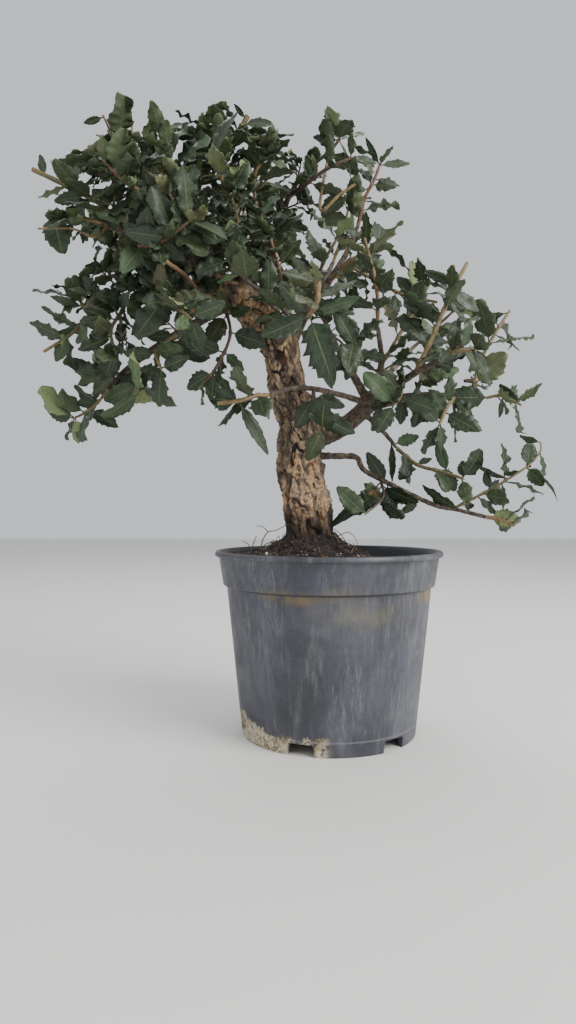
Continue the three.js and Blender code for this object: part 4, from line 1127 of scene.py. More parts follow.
PHI = (1 + 5**0.5) / 2
ICO_POINTS = np.array([
    [-1, PHI, 0], [1, PHI, 0], [-1, -PHI, 0], [1, -PHI, 0], [0, -1, PHI], [0, 1, PHI],
    [0, -1, -PHI], [0, 1, -PHI], [PHI, 0, -1], [PHI, 0, 1], [-PHI, 0, -1], [-PHI, 0, 1],
]) / math.hypot(1, PHI)
ICO_FACES = [
    (0, 11, 5), (0, 5, 1), (0, 1, 7), (0, 7, 10), (0, 10, 11), (1, 5, 9), (5, 11, 4), (11, 10, 2),
    (10, 7, 6), (7, 1, 8), (3, 9, 4), (3, 4, 2), (3, 2, 6), (3, 6, 8), (3, 8, 9), (4, 9, 5),
    (2, 4, 11), (6, 2, 10), (8, 6, 7), (9, 8, 1),
]


def turned(rng):
    """A random rotation."""
    axes = np.linalg.qr(rng.normal(size=(3, 3)))[0]
    return axes * np.sign(np.linalg.det(axes))


def add_chip(shape, rng, centre, sizes, note):
    """An angular crumb: a rough icosahedron, stretched and turned."""
    rough = ICO_POINTS * rng.uniform(0.75, 1.15, (12, 1)) * np.array(sizes)
    shape.add(np.array(centre) + rough @ turned(rng).T, ICO_FACES, note)


def make_crumbs(rng, material):
    """Crumbs, bark chips and white grains on the peat, with more chips left of the trunk."""
    shape = Shape()
    for _ in range(CRUMB_COUNT):
        radius, angle = SOIL_RADIUS * math.sqrt(rng.uniform(0.02, 0.97)), rng.uniform(0, 2 * math.pi)
        x, y = radius * math.cos(angle), radius * math.sin(angle)
        if math.hypot(x - FOOT_X, y - FOOT_Y) < FOOT_CLEAR:
            continue
        size = rng.uniform(0.5, 1.9) * (1.3 if rng.random() < 0.15 else 1)
        pick = rng.random()
        if pick < WHITE_SHARE:
            tone = 0.98
        elif pick < CHIP_SHARE + MORE_CHIPS_LEFT * smooth(-30, -75, x):
            tone = rng.uniform(0.6, 0.8)
        else:
            tone = rng.uniform(0.05, 0.5)
        flat = rng.uniform(0.35, 0.9)
        sizes = (size, size * rng.uniform(0.5, 0.9), size * flat)
        add_chip(shape, rng, (x, y, ground_height(x, y) + size * 0.15), sizes, (tone, rng.random(), 0))
    keep(shape.piece("soil_crumbs", [material], "litter", flat=True), "soil")


def make_fibres(rng, material):
    """Fibres that lie on the peat, every second one close to the trunk and more arched."""
    shape = Shape()
    for turn in range(FIBRE_COUNT):
        by_trunk = turn % 2
        radius = rng.uniform(FOOT_CLEAR, 44) if by_trunk else rng.uniform(20, 78)
        angle = rng.uniform(0, 2 * math.pi)
        x = radius * math.cos(angle) + FOOT_X * by_trunk
        y = radius * math.sin(angle) + FOOT_Y * by_trunk
        way, length = rng.uniform(0, 2 * math.pi), rng.uniform(6, 17)
        points = []
        for k in range(4):
            u = x + math.cos(way) * length * k / 3 + rng.normal(0, 0.9)
            v = y + math.sin(way) * length * k / 3 + rng.normal(0, 0.9)
            u, v = (u, v) if math.hypot(u, v) < LITTER_REACH else (x, y + k)
            arch = rng.uniform(0, 1.6 + 2.4 * by_trunk) * (0 < k < 3)
            points.append([u, v, ground_height(u, v) + 0.4 + arch])
        tone = rng.uniform(0.02, 0.42) + 0.4 * (rng.random() < 0.15)
        add_tube(shape, Path(points), lambda t: FIBRE_RADIUS, 5, 9, (tone, 0.2, 0))
    keep(shape.piece("soil_fibres", [material], "litter"), "soil")


def make_roots(material):
    """The thin root that arches over the peat, the small ones, and the bare twiglet beside it."""
    shape = Shape()
    for order, (thick, *points) in enumerate(SURFACE_ROOTS.values()):
        note = (0.1, 0.93 + 0.01 * order, 0)
        add_tube(shape, Path(points), lambda t: thick * (1 - 0.45 * t), 7, 6 * len(points), note)
    keep(shape.piece("surface_roots", [material], "twig"), "bark")


# Trunk and limbs

def bark_relief(angle, t):
    """The CAD model's own plates on the trunk, as a share of its radius."""
    wander = 1.7 * math.sin(21 * t) + 0.8 * math.sin(47 * t + 1)
    plates = math.sin(5 * angle + wander) + 0.7 * math.sin(3 * angle - 31 * t)
    return 1 + BARK_RELIEF * (0.6 * plates + 0.5 * math.sin(64 * t + 2 * angle))


trunk_path = Path([row[:3] for row in TRUNK])
trunk_radii = Path([[row[3], 0, 0] for row in TRUNK])
limb_paths = {name: Path(points) for name, (_, _, *points) in LIMBS.items()}


def trunk_radius(t):
    return float(trunk_radii.at(t)[0])


def limb_radius(name, t):
    thick, thin = LIMBS[name][:2]
    return mix(thick, thin, t**0.8)


def cork_at(u, v, s):
    """Height from 0 to 1 of the cork, and the tone of its ridge, at a place across and along the wood."""
    warp = 0.5 * noise.noise_vector(Vector((u / 8, v / 8, s / 13)))
    deep = abs(noise.noise(Vector((u / 6.5, v / 6.5, s / 17)) + warp))
    small = abs(noise.noise(Vector((u / 2.9 + 7, v / 2.9, s / 6.5)) + 1.4 * warp))
    knobs = noise.fractal(Vector((u / 2.2, v / 2.2, s / 3)), 0.6, 2.1, 5)
    height = smooth(0.0, 0.16, deep) * (0.5 + 0.5 * smooth(0.0, 0.2, small)) + 0.3 * knobs
    tone = 0.5 + 0.9 * noise.noise(Vector((u / 5, v / 5 + 9, s / 12)) + warp) + 0.25 * knobs
    return float(np.clip(height, 0, 1.2)), float(np.clip(tone, 0, 1))


def make_trunk(material):
    """The trunk as in the CAD model, with plates of cork raised on it."""
    angles = around(TRUNK_FACETS)
    run = trunk_path.length()
    rings, notes = [], []
    for t, place, side, up in frames(trunk_path, np.linspace(0, 1, TRUNK_RINGS + 1)):
        base = trunk_radius(t)
        cork = float(smooth(7, 12, base))
        radii = []
        for angle in angles:
            height, tone = cork_at(base * math.cos(angle), base * math.sin(angle), t * run)
            radii.append(base * bark_relief(angle, t) + CORK_DEPTH * (0.3 + 0.7 * cork) * (height - 0.66))
            notes.append((height, cork, tone))
        rings.append(ring_at(place, side, up, np.array(radii), angles))
    shape = Shape()
    shape.add(np.vstack(rings), tube_faces(len(rings), TRUNK_FACETS), notes)
    keep(shape.piece("trunk_cork", [material], "cork"), "bark", "trunk")


def make_limbs(material):
    """The limbs and the trunk's core as one skin, so that each limb grows out of the wood it leaves."""
    shape = Shape()
    add_tube(shape, trunk_path, lambda t: trunk_radius(t) - LIMB_ROOT_INSET, 36, 90)
    for name, path in limb_paths.items():
        add_tube(shape, path, lambda t: limb_radius(name, t), 14, max(8, round(path.length() / 5)))
    for *place, radius in SCARS:
        shape.add(np.array(place) + ICO_POINTS * radius * 1.1, ICO_FACES)
    wood = shape.piece("limb_bark", [material])
    union = wood.modifiers.new("union", "REMESH")
    union.mode = "VOXEL"
    union.voxel_size = LIMB_VOXEL * MM
    ease = wood.modifiers.new("ease", "SMOOTH")
    ease.factor = 0.5
    ease.iterations = 3
    apply_modifiers(wood)
    roughen_limbs(wood.data)
    wood.data.polygons.foreach_set("use_smooth", [True] * len(wood.data.polygons))
    keep(wood, "bark")


def roughen_limbs(mesh):
    """Small lumps along the limbs, and cork where they are near the trunk."""
    moved = []
    notes = []
    for vertex in mesh.vertices:
        x, y, z = vertex.co / MM
        near_trunk = smooth(40, 12, math.hypot(x - FORK_X, y - FORK_Y)) * smooth(290, 260, z)
        height, tone = cork_at(x, y, z)
        lift = (0.35 + 0.9 * near_trunk) * (height - 0.6)
        moved.extend(vertex.co + vertex.normal * float(lift) * MM)
        notes.extend((height, 0.2 * float(near_trunk), tone))
    mesh.vertices.foreach_set("co", moved)
    note = mesh.attributes.new("cork", "FLOAT_VECTOR", "POINT")
    note.data.foreach_set("vector", notes)
    mesh.update()


# Shoots and leaves: the same rule, seeds and order as in the CAD model

def shoot_path(name):
    limb, share, _, *points = SHOOTS[name]
    return Path([limb_paths[limb].at(share).tolist(), *points])


def shoot_radius(t):
    return mix(SHOOT_RADIUS[0], SHOOT_RADIUS[1], t)


class Station:
    """A place on a twig: the way it runs there, and the way out of it at a turn."""

    def __init__(self, path, zero, t):
        self.at = path.at(t)
        self.tangent = path.tangent(t)
        self.side = unit(zero - self.tangent * zero.dot(self.tangent))
        self.up = np.cross(self.tangent, self.side)

    def out(self, turn):
        return self.side * math.cos(turn) + self.up * math.sin(turn)


def turn_zero(path):
    return across_of(unit(path.at(1.0) - path.at(0.0)))


def heart_near(point):
    """The place inside the crown that a leaf turns away from."""
    share = np.clip((point[0] - HEART_LEFT[0]) / (HEART_RIGHT[0] - HEART_LEFT[0]), 0, 1)
    return mix(HEART_LEFT, HEART_RIGHT, share)


class Leaf:
    """A blade: its stalk's foot, three directions, and its traits."""

    def __init__(self, base, direction, normal, length, traits):
        self.base = base
        self.direction = direction
        self.normal = normal
        self.across = np.cross(normal, direction)
        self.length = length
        self.half = length * traits["aspect"] / 2
        self.droop = traits["droop"]
        self.cup = traits["cup"]
        self.wave = traits["wave"]

    def point(self, along, across, lift=0.0):
        along, across, lift = (np.asarray(value, float) for value in (along, across, lift))
        rise = self.cup * self.half * across**2 - self.droop * self.length * along**2 + lift
        return (self.base + (along * self.length)[..., None] * self.direction
                + (across * self.half)[..., None] * self.across + rise[..., None] * self.normal)

    def samples(self):
        rows = math.ceil(self.length * (1 - SAMPLED_FROM) / SAMPLE_STEP)
        along = mix(SAMPLED_FROM, 1, np.arange(rows + 1) / rows)
        half = np.minimum(1, along / 0.24) * np.minimum(1, (1 - along) / 0.34)
        grid = np.outer(half, SAMPLE_COLUMNS)
        return self.point(np.repeat(along[:, None], len(SAMPLE_COLUMNS), 1), grid).reshape(-1, 3)


class Crown:
    """The wood and blades placed so far, which a new leaf keeps clear of."""

    def __init__(self):
        self.wood_at = np.empty((0, 3))
        self.wood_radius = np.empty(0)
        self.wood_owner = np.empty(0, object)
        self.middles = []
        self.lengths = []
        self.blades = []

    def add_wood(self, path, radius_at, owner):
        steps = math.ceil(path.length() / SAMPLE_STEP)
        shares = np.arange(steps + 1) / steps
        self.wood_at = np.vstack([self.wood_at, path.at(shares)])
        self.wood_radius = np.append(self.wood_radius, [radius_at(t) for t in shares])
        self.wood_owner = np.append(self.wood_owner, [owner] * len(shares))

    def is_clear(self, leaf, samples, owner, out, gaps):
        blade_gap, wood_gap, own_gap = gaps
        if (samples[:, 2] < FLOOR_CLEAR).any():
            return False
        for along, across, _ in HALF_OUTLINE:
            for way in (1, -1):
                if (leaf.point(along, way * across) - leaf.base).dot(out) < own_gap:
                    return False
        middle = leaf.point(0.5, 0.0)
        reach = self.wood_radius + np.where(self.wood_owner == owner, own_gap, wood_gap)
        near = np.linalg.norm(self.wood_at - middle, axis=1) <= leaf.length + reach
        away = np.linalg.norm(samples[:, None] - self.wood_at[None, near], axis=2)
        if (away < reach[near]).any():
            return False
        if not self.middles:
            return True
        limit = (leaf.length + np.array(self.lengths)) / 2 + blade_gap + BEND_ROOM
        others = np.linalg.norm(np.array(self.middles) - middle, axis=1) <= limit
        for k in np.nonzero(others)[0]:
            away = np.linalg.norm(samples[:, None] - self.blades[k][None], axis=2)
            if (away < blade_gap).any():
                return False
        return True

    def place(self, leaf, samples):
        self.middles.append(leaf.point(0.5, 0.0))
        self.lengths.append(leaf.length)
        self.blades.append(samples)


def face_of(direction, tangent, light):
    """The way a blade faces: turned from its twig's own way toward the light, within what its stalk lets."""
    natural = unit(tangent - direction * tangent.dot(direction))
    across = np.cross(natural, direction)
    twist = math.atan2(light.dot(across), light.dot(natural))
    held = min(max(twist, -MOST_TWIST), MOST_TWIST)
    return natural * math.cos(held) + across * math.sin(held)


def leaf_traits(draw, lengths=LEAF_LENGTH):
    return {
        "length": mix(*lengths, draw()),
        "aspect": mix(*LEAF_ASPECT, draw()),
        "lean": mix(*LEAN, draw()),
        "scatter": np.array([draw() - 0.5, draw() - 0.5, draw() - 0.5]),
        "droop": mix(*LEAF_DROOP, draw()),
        "cup": mix(*LEAF_CUP, draw()),
        "wave": mix(*LEAF_WAVE, draw()),
    }


def leaf_at(crown, station, turn, radius, traits, shrink, owner, gaps=CAD_GAPS):
    """A leaf at a station of a twig, placed in the crown if there is room for it."""
    out = station.out(turn)
    base = station.at + out * radius / 2
    direction = station.tangent * math.cos(traits["lean"]) + out * math.sin(traits["lean"])
    direction = unit(direction + np.array([0, 0, LIFT]))
    light = unit(base - heart_near(base)) * OUTWARD + traits["scatter"] * SCATTER + np.array([0, 0, UPWARD])
    normal = face_of(direction, station.tangent, light)
    leaf = Leaf(base, direction, normal, traits["length"] * shrink, traits)
    samples = leaf.samples()
    if not crown.is_clear(leaf, samples, owner, out, gaps):
        return None
    crown.place(leaf, samples)
    return leaf


def cad_leaves(crown, name, order):
    """The leaves that the CAD model has on a shoot."""
    path = shoot_path(name)
    zero = turn_zero(path)
    draw = draws_from(FIRST_SEED + SEED_STEP * order)
    length = path.length()
    middle = path.at(0.5)
    dense = middle[0] < DENSE_LEFT_OF and middle[2] > DENSE_ABOVE
    spacing = DENSE_SPACING if dense else OPEN_SPACING
    count = max(LEAST_NODES, math.floor(length / spacing + 0.5) + 1)
    start = 2 * math.pi * draw()
    leaves = []
    for i in range(count):
        t = mix(FIRST_NODE / length, 1 - SHOOTS[name][2] - NODE_HALF / length, i / (count - 1))
        station = Station(path, zero, t)
        first, second = leaf_traits(draw), leaf_traits(draw)
        turn = start + i * NODE_TURN
        found = None
        for attempt in range(LEAF_TRIES):
            if found:
                break
            turn += RETRY_TURN if attempt else 0
            found = leaf_at(crown, station, turn, shoot_radius(t), first, RETRY_SHRINK**attempt, name)
        partner = None
        for face in (1, 2):
            partner = partner or leaf_at(
                crown, station, turn + 2 * math.pi * face / 3, shoot_radius(t), second, SECOND_SHRINK, name)
        leaves += [leaf for leaf in (found, partner) if leaf]
    return leaves


def is_dense(point):
    """Whether a point lies in the upper left of the crown, where the leaves are close."""
    return point[0] < DENSE_LEFT_OF + 25 and point[2] > DENSE_ABOVE - 5


def in_open_room(point):
    """Whether a point lies in one of the boxes that are kept open."""
    return any(all(a <= p <= b for p, a, b in zip(point, low, high)) for low, high in OPEN_ROOM)


def fill_leaves(crown, name, order):
    """Smaller leaves on the same shoot, in the room that is left."""
    if name in PLAIN_SHOOTS:
        return []
    path = shoot_path(name)
    zero = turn_zero(path)
    draw = draws_from(FILL_SEED + SEED_STEP * order)
    length = path.length()
    spacing = DENSE_FILL_SPACING if is_dense(path.at(0.5)) else OPEN_FILL_SPACING
    count = max(3, round(length / spacing))
    leaves = []
    for i in range(count):
        t = mix(0.1, 1 - SHOOTS[name][2] - 0.02, i / (count - 1))
        leaves += sprout(crown, Station(path, zero, t), i, shoot_radius(t), draw, name)
    return leaves


def sprout(crown, station, i, radius, draw, owner):
    """A filling leaf at the first turn where it has room, as a list of one or none."""
    traits = leaf_traits(draw, FILL_LENGTH)
    start = 2 * math.pi * draw() + i * NODE_TURN
    if in_open_room(station.at):
        return []
    for attempt in range(FILL_TRIES):
        turn, shrink = start + attempt * RETRY_TURN, RETRY_SHRINK**attempt
        leaf = leaf_at(crown, station, turn, radius, traits, shrink, owner, FILL_GAPS)
        if leaf:
            return [leaf]
    return []


def seen_leaves(crown, path, rows):
    """Leaves that stand out in the picture, each from its place on a twig to its tip."""
    leaves = []
    for share, tip, aspect, turn in rows:
        foot = path.at(share)
        reach = np.array(tip, float) - foot
        direction = unit(reach)
        front = np.array([0.0, -1.0, 0.0])
        facing = unit(front - direction * front.dot(direction))
        across = np.cross(facing, direction)
        angle = math.radians(turn)
        normal = facing * math.cos(angle) + across * math.sin(angle)
        traits = {"aspect": aspect, "droop": SEEN_DROOP, "cup": SEEN_CUP, "wave": SEEN_WAVE}
        length = float(np.linalg.norm(reach)) - SEEN_START
        leaf = Leaf(foot + direction * SEEN_START, direction, normal, length, traits)
        crown.place(leaf, leaf.samples())
        leaves.append(leaf)
    return leaves


def sprig_path(station, out, length, inset, draw):
    """A short line out of a limb, with one bend."""
    way = unit(out + 0.5 * station.tangent + np.array([0, 0, 0.35]))
    bend = unit(way + 0.5 * np.array([draw() - 0.5, draw() - 0.5, draw()]))
    foot = station.at + out * inset
    knee = foot + way * length * 0.5
    return Path([foot, knee, knee + bend * length * 0.5])


def sprig_leaves(crown, line, length, draw, owner):
    """The leaves of a sprig. One that a blade is in the way of has none, but takes its draws."""
    reach = line.at(np.linspace(SPRIG_BARE, 1, 6))
    close = [blade for blade in crown.blades if np.linalg.norm(blade[0] - reach[2]) < SPRIG_NEAR]
    gaps = [np.linalg.norm(blade[:, None] - reach[None], axis=2).min() for blade in close]
    clear = all(gap > SPRIG_GAP for gap in gaps)
    zero = turn_zero(line)
    count = max(3, round(length / SPRIG_LEAF_SPACING))
    leaves = []
    for k in range(count):
        station = Station(line, zero, mix(SPRIG_BARE, 0.99, k / (count - 1)))
        if clear:
            leaves += sprout(crown, station, k, SPRIG_RADIUS[0], draw, owner)
        else:
            leaf_traits(draw)
            draw()
    return leaves


def limb_sprigs(crown, name, order):
    """Short leafy twigs on a limb: their lines and their leaves."""
    path = limb_paths[name]
    zero = turn_zero(path)
    draw = draws_from(SPRIG_SEED + SEED_STEP * order)
    spacing = DENSE_SPRIG_SPACING if is_dense(path.at(0.6)) else OPEN_SPRIG_SPACING
    count = max(2, round(path.length() * (1 - SPRIG_FROM) / spacing))
    sprigs = []
    for i in range(count):
        t = mix(SPRIG_FROM, 0.97, (i + 0.7 * draw()) / count)
        station = Station(path, zero, t)
        out = station.out(2 * math.pi * draw())
        length = mix(*SPRIG_LENGTH, draw())
        line = sprig_path(station, out, length, limb_radius(name, t) / 2, draw)
        leaves = sprig_leaves(crown, line, length, draw, f"{name}_sprig_{i}")
        if leaves:
            sprigs.append((line, leaves))
    return sprigs


# Fine leaves and twigs

def blade_rows(teeth):
    """Shares along the leaf with the tooth's reach there, stalk first."""
    rows = [(0.0, None), (STALK_END * 0.55, None), (STALK_END * 0.95, None)]
    for tooth in range(teeth):
        for place, reach in TOOTH_ROWS:
            share = (tooth + place + 0.12) / (teeth + 0.25)
            rows.append((mix(STALK_END, 1, share), reach))
    return rows + [(0.985, 0.0)]


BLADE_ROWS = blade_rows(TEETH)
PLAIN_ROWS = blade_rows(PLAIN_TEETH)
WAVE_AT = [0, 0.12] + [row[0] for row in HALF_OUTLINE] + [1]
WAVE_REACH = [0, 0] + [row[2] for row in HALF_OUTLINE] + [0]


def blade_section(leaf, along, tooth, columns, traits):
    """Half width, thickness and height across the blade at one row of the leaf."""
    if tooth is None:
        return STALK_HALF / leaf.half, STALK_THICK * np.sqrt(np.maximum(0.3, 1 - columns**2)), 0 * columns
    body = (along - STALK_END) / (1 - STALK_END)
    size = min(1, leaf.half / FULL_RUFFLE_HALF)
    plump = math.sin(math.pi * min(body, 0.999) ** traits["middle"]) ** 0.7
    trim = DENSE_TRIM if is_dense(leaf.base) else OPEN_TRIM
    half = trim * plump * (1 + max(SMALL_LEAF_TEETH, size) * traits["tooth"] * tooth) + 0.02
    thick = BLADE_THICK + (STALK_THICK - BLADE_THICK) * float(smooth(0.22, 0.02, body))
    wave = float(np.interp(along, WAVE_AT, WAVE_REACH)) * leaf.wave * size
    phase = (body - VEIN_SLOPE * np.abs(columns)) * (VEIN_PAIRS + 0.5)
    groove = RIB_GROOVE * np.exp(-((columns / 0.16) ** 2))
    pucker = 3 * size * PUCKER * np.cos(2 * math.pi * phase) * np.abs(columns) * (1 - np.abs(columns))
    sides = np.where(columns < 0, traits["left"], traits["right"])
    ruffle = size * traits["ruffle"] * np.sin(2 * math.pi * (traits["waves"] * body + sides)) * columns**2
    grown = smooth(0, 0.25, body)
    lift = wave * columns**2 - groove + pucker + grown * (ruffle + traits["curl"] * leaf.half * columns**3)
    bend = traits["bend"] * leaf.length * body**2
    return half, thick * np.sqrt(np.maximum(0.12, 1 - columns**2)), lift - bend


def add_leaf(shape, leaf, rng, plain=False, tone=None, lobes=1.0, calm=1.0):
    """A closed thin blade with teeth, a sunken rib and puckers between its veins."""
    tone = rng.random() if tone is None else tone
    traits = {
        "tooth": lobes * rng.uniform(*TOOTH_SIZE), "curl": rng.normal(0, 0.2),
        "ruffle": calm * rng.uniform(*RUFFLE), "waves": rng.uniform(1.6, 3.2),
        "left": rng.random(), "right": rng.random(),
        "bend": rng.normal(0.04, 0.08), "middle": rng.uniform(0.72, 0.86),
    }
    columns = np.array(PLAIN_COLUMNS if plain else BLADE_COLUMNS)
    blade = PLAIN_ROWS if plain else BLADE_ROWS
    wide = len(columns)
    tops, bottoms, notes = [], [], []
    for along, tooth in blade:
        half, thick, lift = blade_section(leaf, along, tooth, columns, traits)
        middle = leaf.point(np.full(wide, along), columns * half, lift)
        tops.append(middle + np.outer(thick / 2, leaf.normal))
        bottoms.append(middle - np.outer(thick / 2, leaf.normal))
        body = max(0.0, (along - STALK_END) / (1 - STALK_END))
        notes.append(np.column_stack([columns, np.full(wide, body), np.full(wide, tone)]))
    faces, kinds = blade_faces(wide, len(blade))
    shape.add(np.vstack(tops + bottoms), faces, np.vstack(notes + notes), kinds)


def blade_faces(wide, tall):
    """The faces of a leaf's upper side, underside, rim, foot and tip."""
    under = wide * tall
    faces, kinds = [], []
    for i in range(tall - 1):
        for j in range(wide - 1):
            a = i * wide + j
            faces.append((a, a + wide, a + wide + 1, a + 1))
            faces.append((under + a, under + a + 1, under + a + wide + 1, under + a + wide))
            kinds += [0, 1]
        left, right = i * wide, i * wide + wide - 1
        faces.append((left, under + left, under + left + wide, left + wide))
        faces.append((right, right + wide, under + right + wide, under + right))
        kinds += [0, 0]
    foot = list(range(wide))
    tip = list(range((tall - 1) * wide, tall * wide))
    faces.append(tuple(foot) + tuple(under + k for k in reversed(foot)))
    faces.append(tuple(reversed(tip)) + tuple(under + k for k in tip))
    return faces, kinds + [0, 0]


def add_twig(shape, path, radii, tone, nodes, bare):
    """A round twig, thicker at its nodes. A cut one ends flat and pale, and a growing one in a bud."""
    length = path.length()
    angles = around(TWIG_SIDES)
    rings, notes = [], []
    for t, place, side, up in frames(path, np.linspace(0, 1, max(5, round(length / TWIG_STEP)) + 1)):
        swell = sum(NODE_SWELL * math.exp(-(((t - node) * length / NODE_SPREAD) ** 2)) for node in nodes)
        radius = mix(*radii, t) * (1 + min(MOST_SWELL, swell) + 0.06 * math.sin(40 * t + 9 * tone))
        if not bare:
            radius *= 1 - 0.55 * float(smooth(0.93, 1.0, t))
        rings.append(ring_at(place, side, up, radius, angles))
        notes += [[t, tone, 0]] * TWIG_SIDES
    tangent, end = path.tangent(1.0), path.at(1.0)
    if bare:
        rings += [rings[-1] + tangent * 0.02, [end + tangent * 0.15]]
    else:
        rings += [end + 0.35 * (rings[-1] - end) + tangent * 1.6, [end + tangent * BUD_LENGTH]]
    notes += [[1, tone, int(bare)]] * (TWIG_SIDES + 1)
    faces = ring_faces(len(rings) - 1, TWIG_SIDES)
    tip = (len(rings) - 1) * TWIG_SIDES
    top = tip - TWIG_SIDES
    faces += [(top + (j + 1) % TWIG_SIDES, tip, top + j) for j in range(TWIG_SIDES)]
    faces.append(tuple(range(TWIG_SIDES)))
    shape.add(np.vstack(rings), faces, notes)


def cut_twig_path(name):
    owner, share, _, _, *points = CUT_TWIGS[name]
    line = shoot_path(owner) if owner in SHOOTS else limb_paths[owner]
    return Path([line.at(share).tolist(), *points])


def seen_owner_path(name):
    """The twig that a row of single leaves grows on."""
    if name in CUT_TWIGS:
        return cut_twig_path(name)
    if name.endswith("_shoot"):
        return shoot_path(name.removesuffix("_shoot"))
    return shoot_path(name) if name in SHOOTS else limb_paths[name]


def make_crown(leaf_materials, twig):
    """The CAD model's leaves first, then the seen ones, and the filling ones in the room that is left."""
    crown = Crown()
    crown.add_wood(trunk_path, trunk_radius, "trunk")
    for name, path in limb_paths.items():
        crown.add_wood(path, lambda t: limb_radius(name, t), name)
    for name in SHOOTS:
        crown.add_wood(shoot_path(name), shoot_radius, name)
    grown = {name: cad_leaves(crown, name, order) for order, name in enumerate(SHOOTS)}
    for name, (_, _, radii, *_) in CUT_TWIGS.items():
        crown.add_wood(cut_twig_path(name), lambda t: mix(*radii, t), name)
    make_seen(crown, leaf_materials, twig)
    for order, name in enumerate(SHOOTS):
        make_shoot(crown, name, order, grown[name], leaf_materials, twig)
    for order, name in enumerate(LIMBS):
        if name not in BARE_LIMBS:
            make_sprigs(crown, name, order, leaf_materials, twig)


def make_seen(crown, leaf_materials, twig):
    """The cut twigs and the single leaves that stand out in the picture."""
    rng = np.random.default_rng(SEEN_SEED)
    stems, blades = Shape(), Shape()
    for name, (_, _, radii, tone, *_) in CUT_TWIGS.items():
        add_twig(stems, cut_twig_path(name), radii, tone, [0.45], True)
    for name, rows in SEEN_LEAVES.items():
        for leaf, row in zip(seen_leaves(crown, seen_owner_path(name), rows), rows):
            shows_underside = abs(row[3]) > 90
            tone = UNDERSIDE_TONE if shows_underside else rng.uniform(0.06, 0.8)
            add_leaf(blades, leaf, rng, tone=tone, lobes=LOBED.get(name, 1.0), calm=SEEN_RUFFLE)
    keep(stems.piece("cut_twigs", [twig], "twig"), "bark")
    keep(blades.piece("seen_leaves", leaf_materials, "blade"), "leaf")


def make_shoot(crown, name, order, grown, leaf_materials, twig):
    """One shoot of the CAD model with its leaves, and the smaller leaves between them."""
    rng = np.random.default_rng(SHOOT_SEED + order)
    blades = Shape()
    lobes = LOBED.get(name, 1.0)
    for leaf in grown:
        add_leaf(blades, leaf, rng, lobes=lobes)
    for leaf in fill_leaves(crown, name, order):
        add_leaf(blades, leaf, rng, plain=True)
    keep(blades.piece(f"{name}_leaves", leaf_materials, "blade"), "leaf", name)
    path = shoot_path(name)
    shares = np.linspace(0, 1, 80)
    along = path.at(shares)
    nodes = [shares[np.argmin(np.linalg.norm(along - leaf.base, axis=1))] for leaf in grown]
    tone, radii = TWIG_LOOKS.get(name, [rng.random(), SHOOT_RADIUS])
    stem = Shape()
    add_twig(stem, path, radii, tone, nodes, SHOOTS[name][2] > 0)
    keep(stem.piece(f"{name}_twig", [twig], "twig"), "bark")


def make_sprigs(crown, name, order, leaf_materials, twig):
    """The short leafy twigs of one limb."""
    rng = np.random.default_rng(SPRIG_LOOK_SEED + order)
    sprigs = limb_sprigs(crown, name, order)
    if not sprigs:
        return
    blades, stems = Shape(), Shape()
    for line, leaves in sprigs:
        for leaf in leaves:
            add_leaf(blades, leaf, rng, plain=True)
        add_twig(stems, line, SPRIG_RADIUS, rng.random(), [], False)
    keep(blades.piece(f"{name}_sprig_leaves", leaf_materials, "blade"), "leaf")
    keep(stems.piece(f"{name}_sprigs", [twig], "twig"), "bark")


# Lime crust on the pot's foot

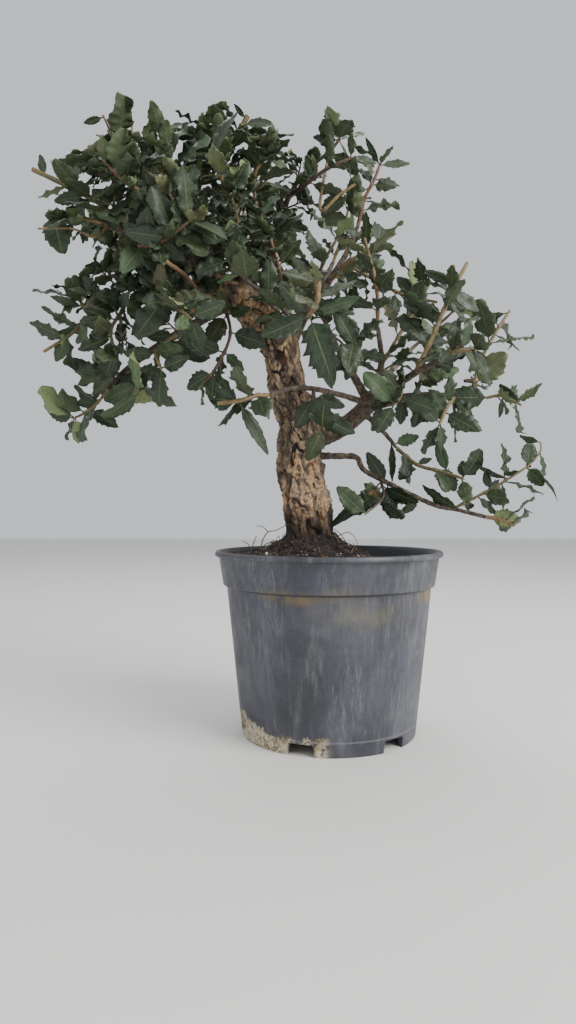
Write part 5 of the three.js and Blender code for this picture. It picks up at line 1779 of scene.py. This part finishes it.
def make_lime(material):
    """Flat grains on the foot's left side, thicker low down, and none over a notch."""
    rng = np.random.default_rng(LIME_SEED)
    shape = Shape()
    for _ in range(LIME_GRAINS):
        angle = math.radians(rng.uniform(*LIME_ARC))
        z = abs(rng.normal(0, LIME_SPREAD)) + 0.6
        if z > LIME_TOP:
            continue
        radius = mix(BASE_RADIUS, BODY_RADIUS_TOP, z / (COLLAR_BOTTOM - COLLAR_STEP)) - 0.1
        from_notch = abs((math.degrees(angle) - FIRST_NOTCH_DEG + 30) % (360 / NOTCH_COUNT) - 30)
        if z < NOTCH_HEIGHT + 1 and math.radians(from_notch) * BASE_RADIUS < NOTCH_WIDTH / 2 + 0.6:
            continue
        size = rng.uniform(0.4, 1.2)
        outward = np.array([math.cos(angle), math.sin(angle), 0])
        centre = radius * outward + np.array([0, 0, max(z, size * 0.5)])
        rough = ICO_POINTS * rng.uniform(0.7, 1.15, (12, 1)) * size
        rough = rough - np.outer(rough @ outward * 0.72, outward)
        shape.add(centre + rough, ICO_FACES)
    keep(shape.piece("lime_crust", [material], flat=True), "pot")


# Camera, light and floor

def make_camera():
    lens = bpy.data.cameras.new("camera")
    lens.lens = CAMERA_LENS
    lens.sensor_width = CAMERA_SENSOR
    camera = add_object("camera", lens)
    camera.location = CAMERA_AT
    camera.rotation_euler = (math.radians(90), 0, 0)
    bpy.context.scene.camera = camera


def make_light(name, place, size, power, colour):
    lamp = bpy.data.lights.new(name, "AREA")
    lamp.shape = "DISK"
    lamp.size = size
    lamp.energy = power
    lamp.color = colour
    light = add_object(name, lamp)
    light.location = place
    light.rotation_euler = (Vector(LIGHTS_AIM) - Vector(place)).to_track_quat("-Z", "Y").to_euler()


def make_stage():
    half = FLOOR_SIZE / 2
    mesh = bpy.data.meshes.new("floor")
    corners = [(-half, -half, 0), (half, -half, 0), (half, half, 0), (-half, half, 0)]
    mesh.from_pydata(corners, [], [(0, 1, 2, 3)])
    mesh.materials.append(stage_material())
    add_object("floor", mesh)
    world = bpy.data.worlds.new("world")
    bpy.context.scene.world = world
    world.use_nodes = True
    sky = world.node_tree.nodes["Background"].inputs
    sky["Color"].default_value = rgb(SKY_COLOUR)
    sky["Strength"].default_value = SKY_STRENGTH
    for name, light in LIGHTS.items():
        make_light(name, *light)


noise.seed_set(NOISE_SEED)
make_camera()
make_stage()
litter = litter_material()
twig = twig_material()
make_pot()
make_soil(soil_material())
litter_rng = np.random.default_rng(LITTER_SEED)
make_crumbs(litter_rng, litter)
make_fibres(litter_rng, litter)
make_roots(twig)
bark = bark_material()
make_trunk(bark)
make_limbs(bark)
make_crown([leaf_top_material(), leaf_under_material()], twig)
make_lime(lime_material())
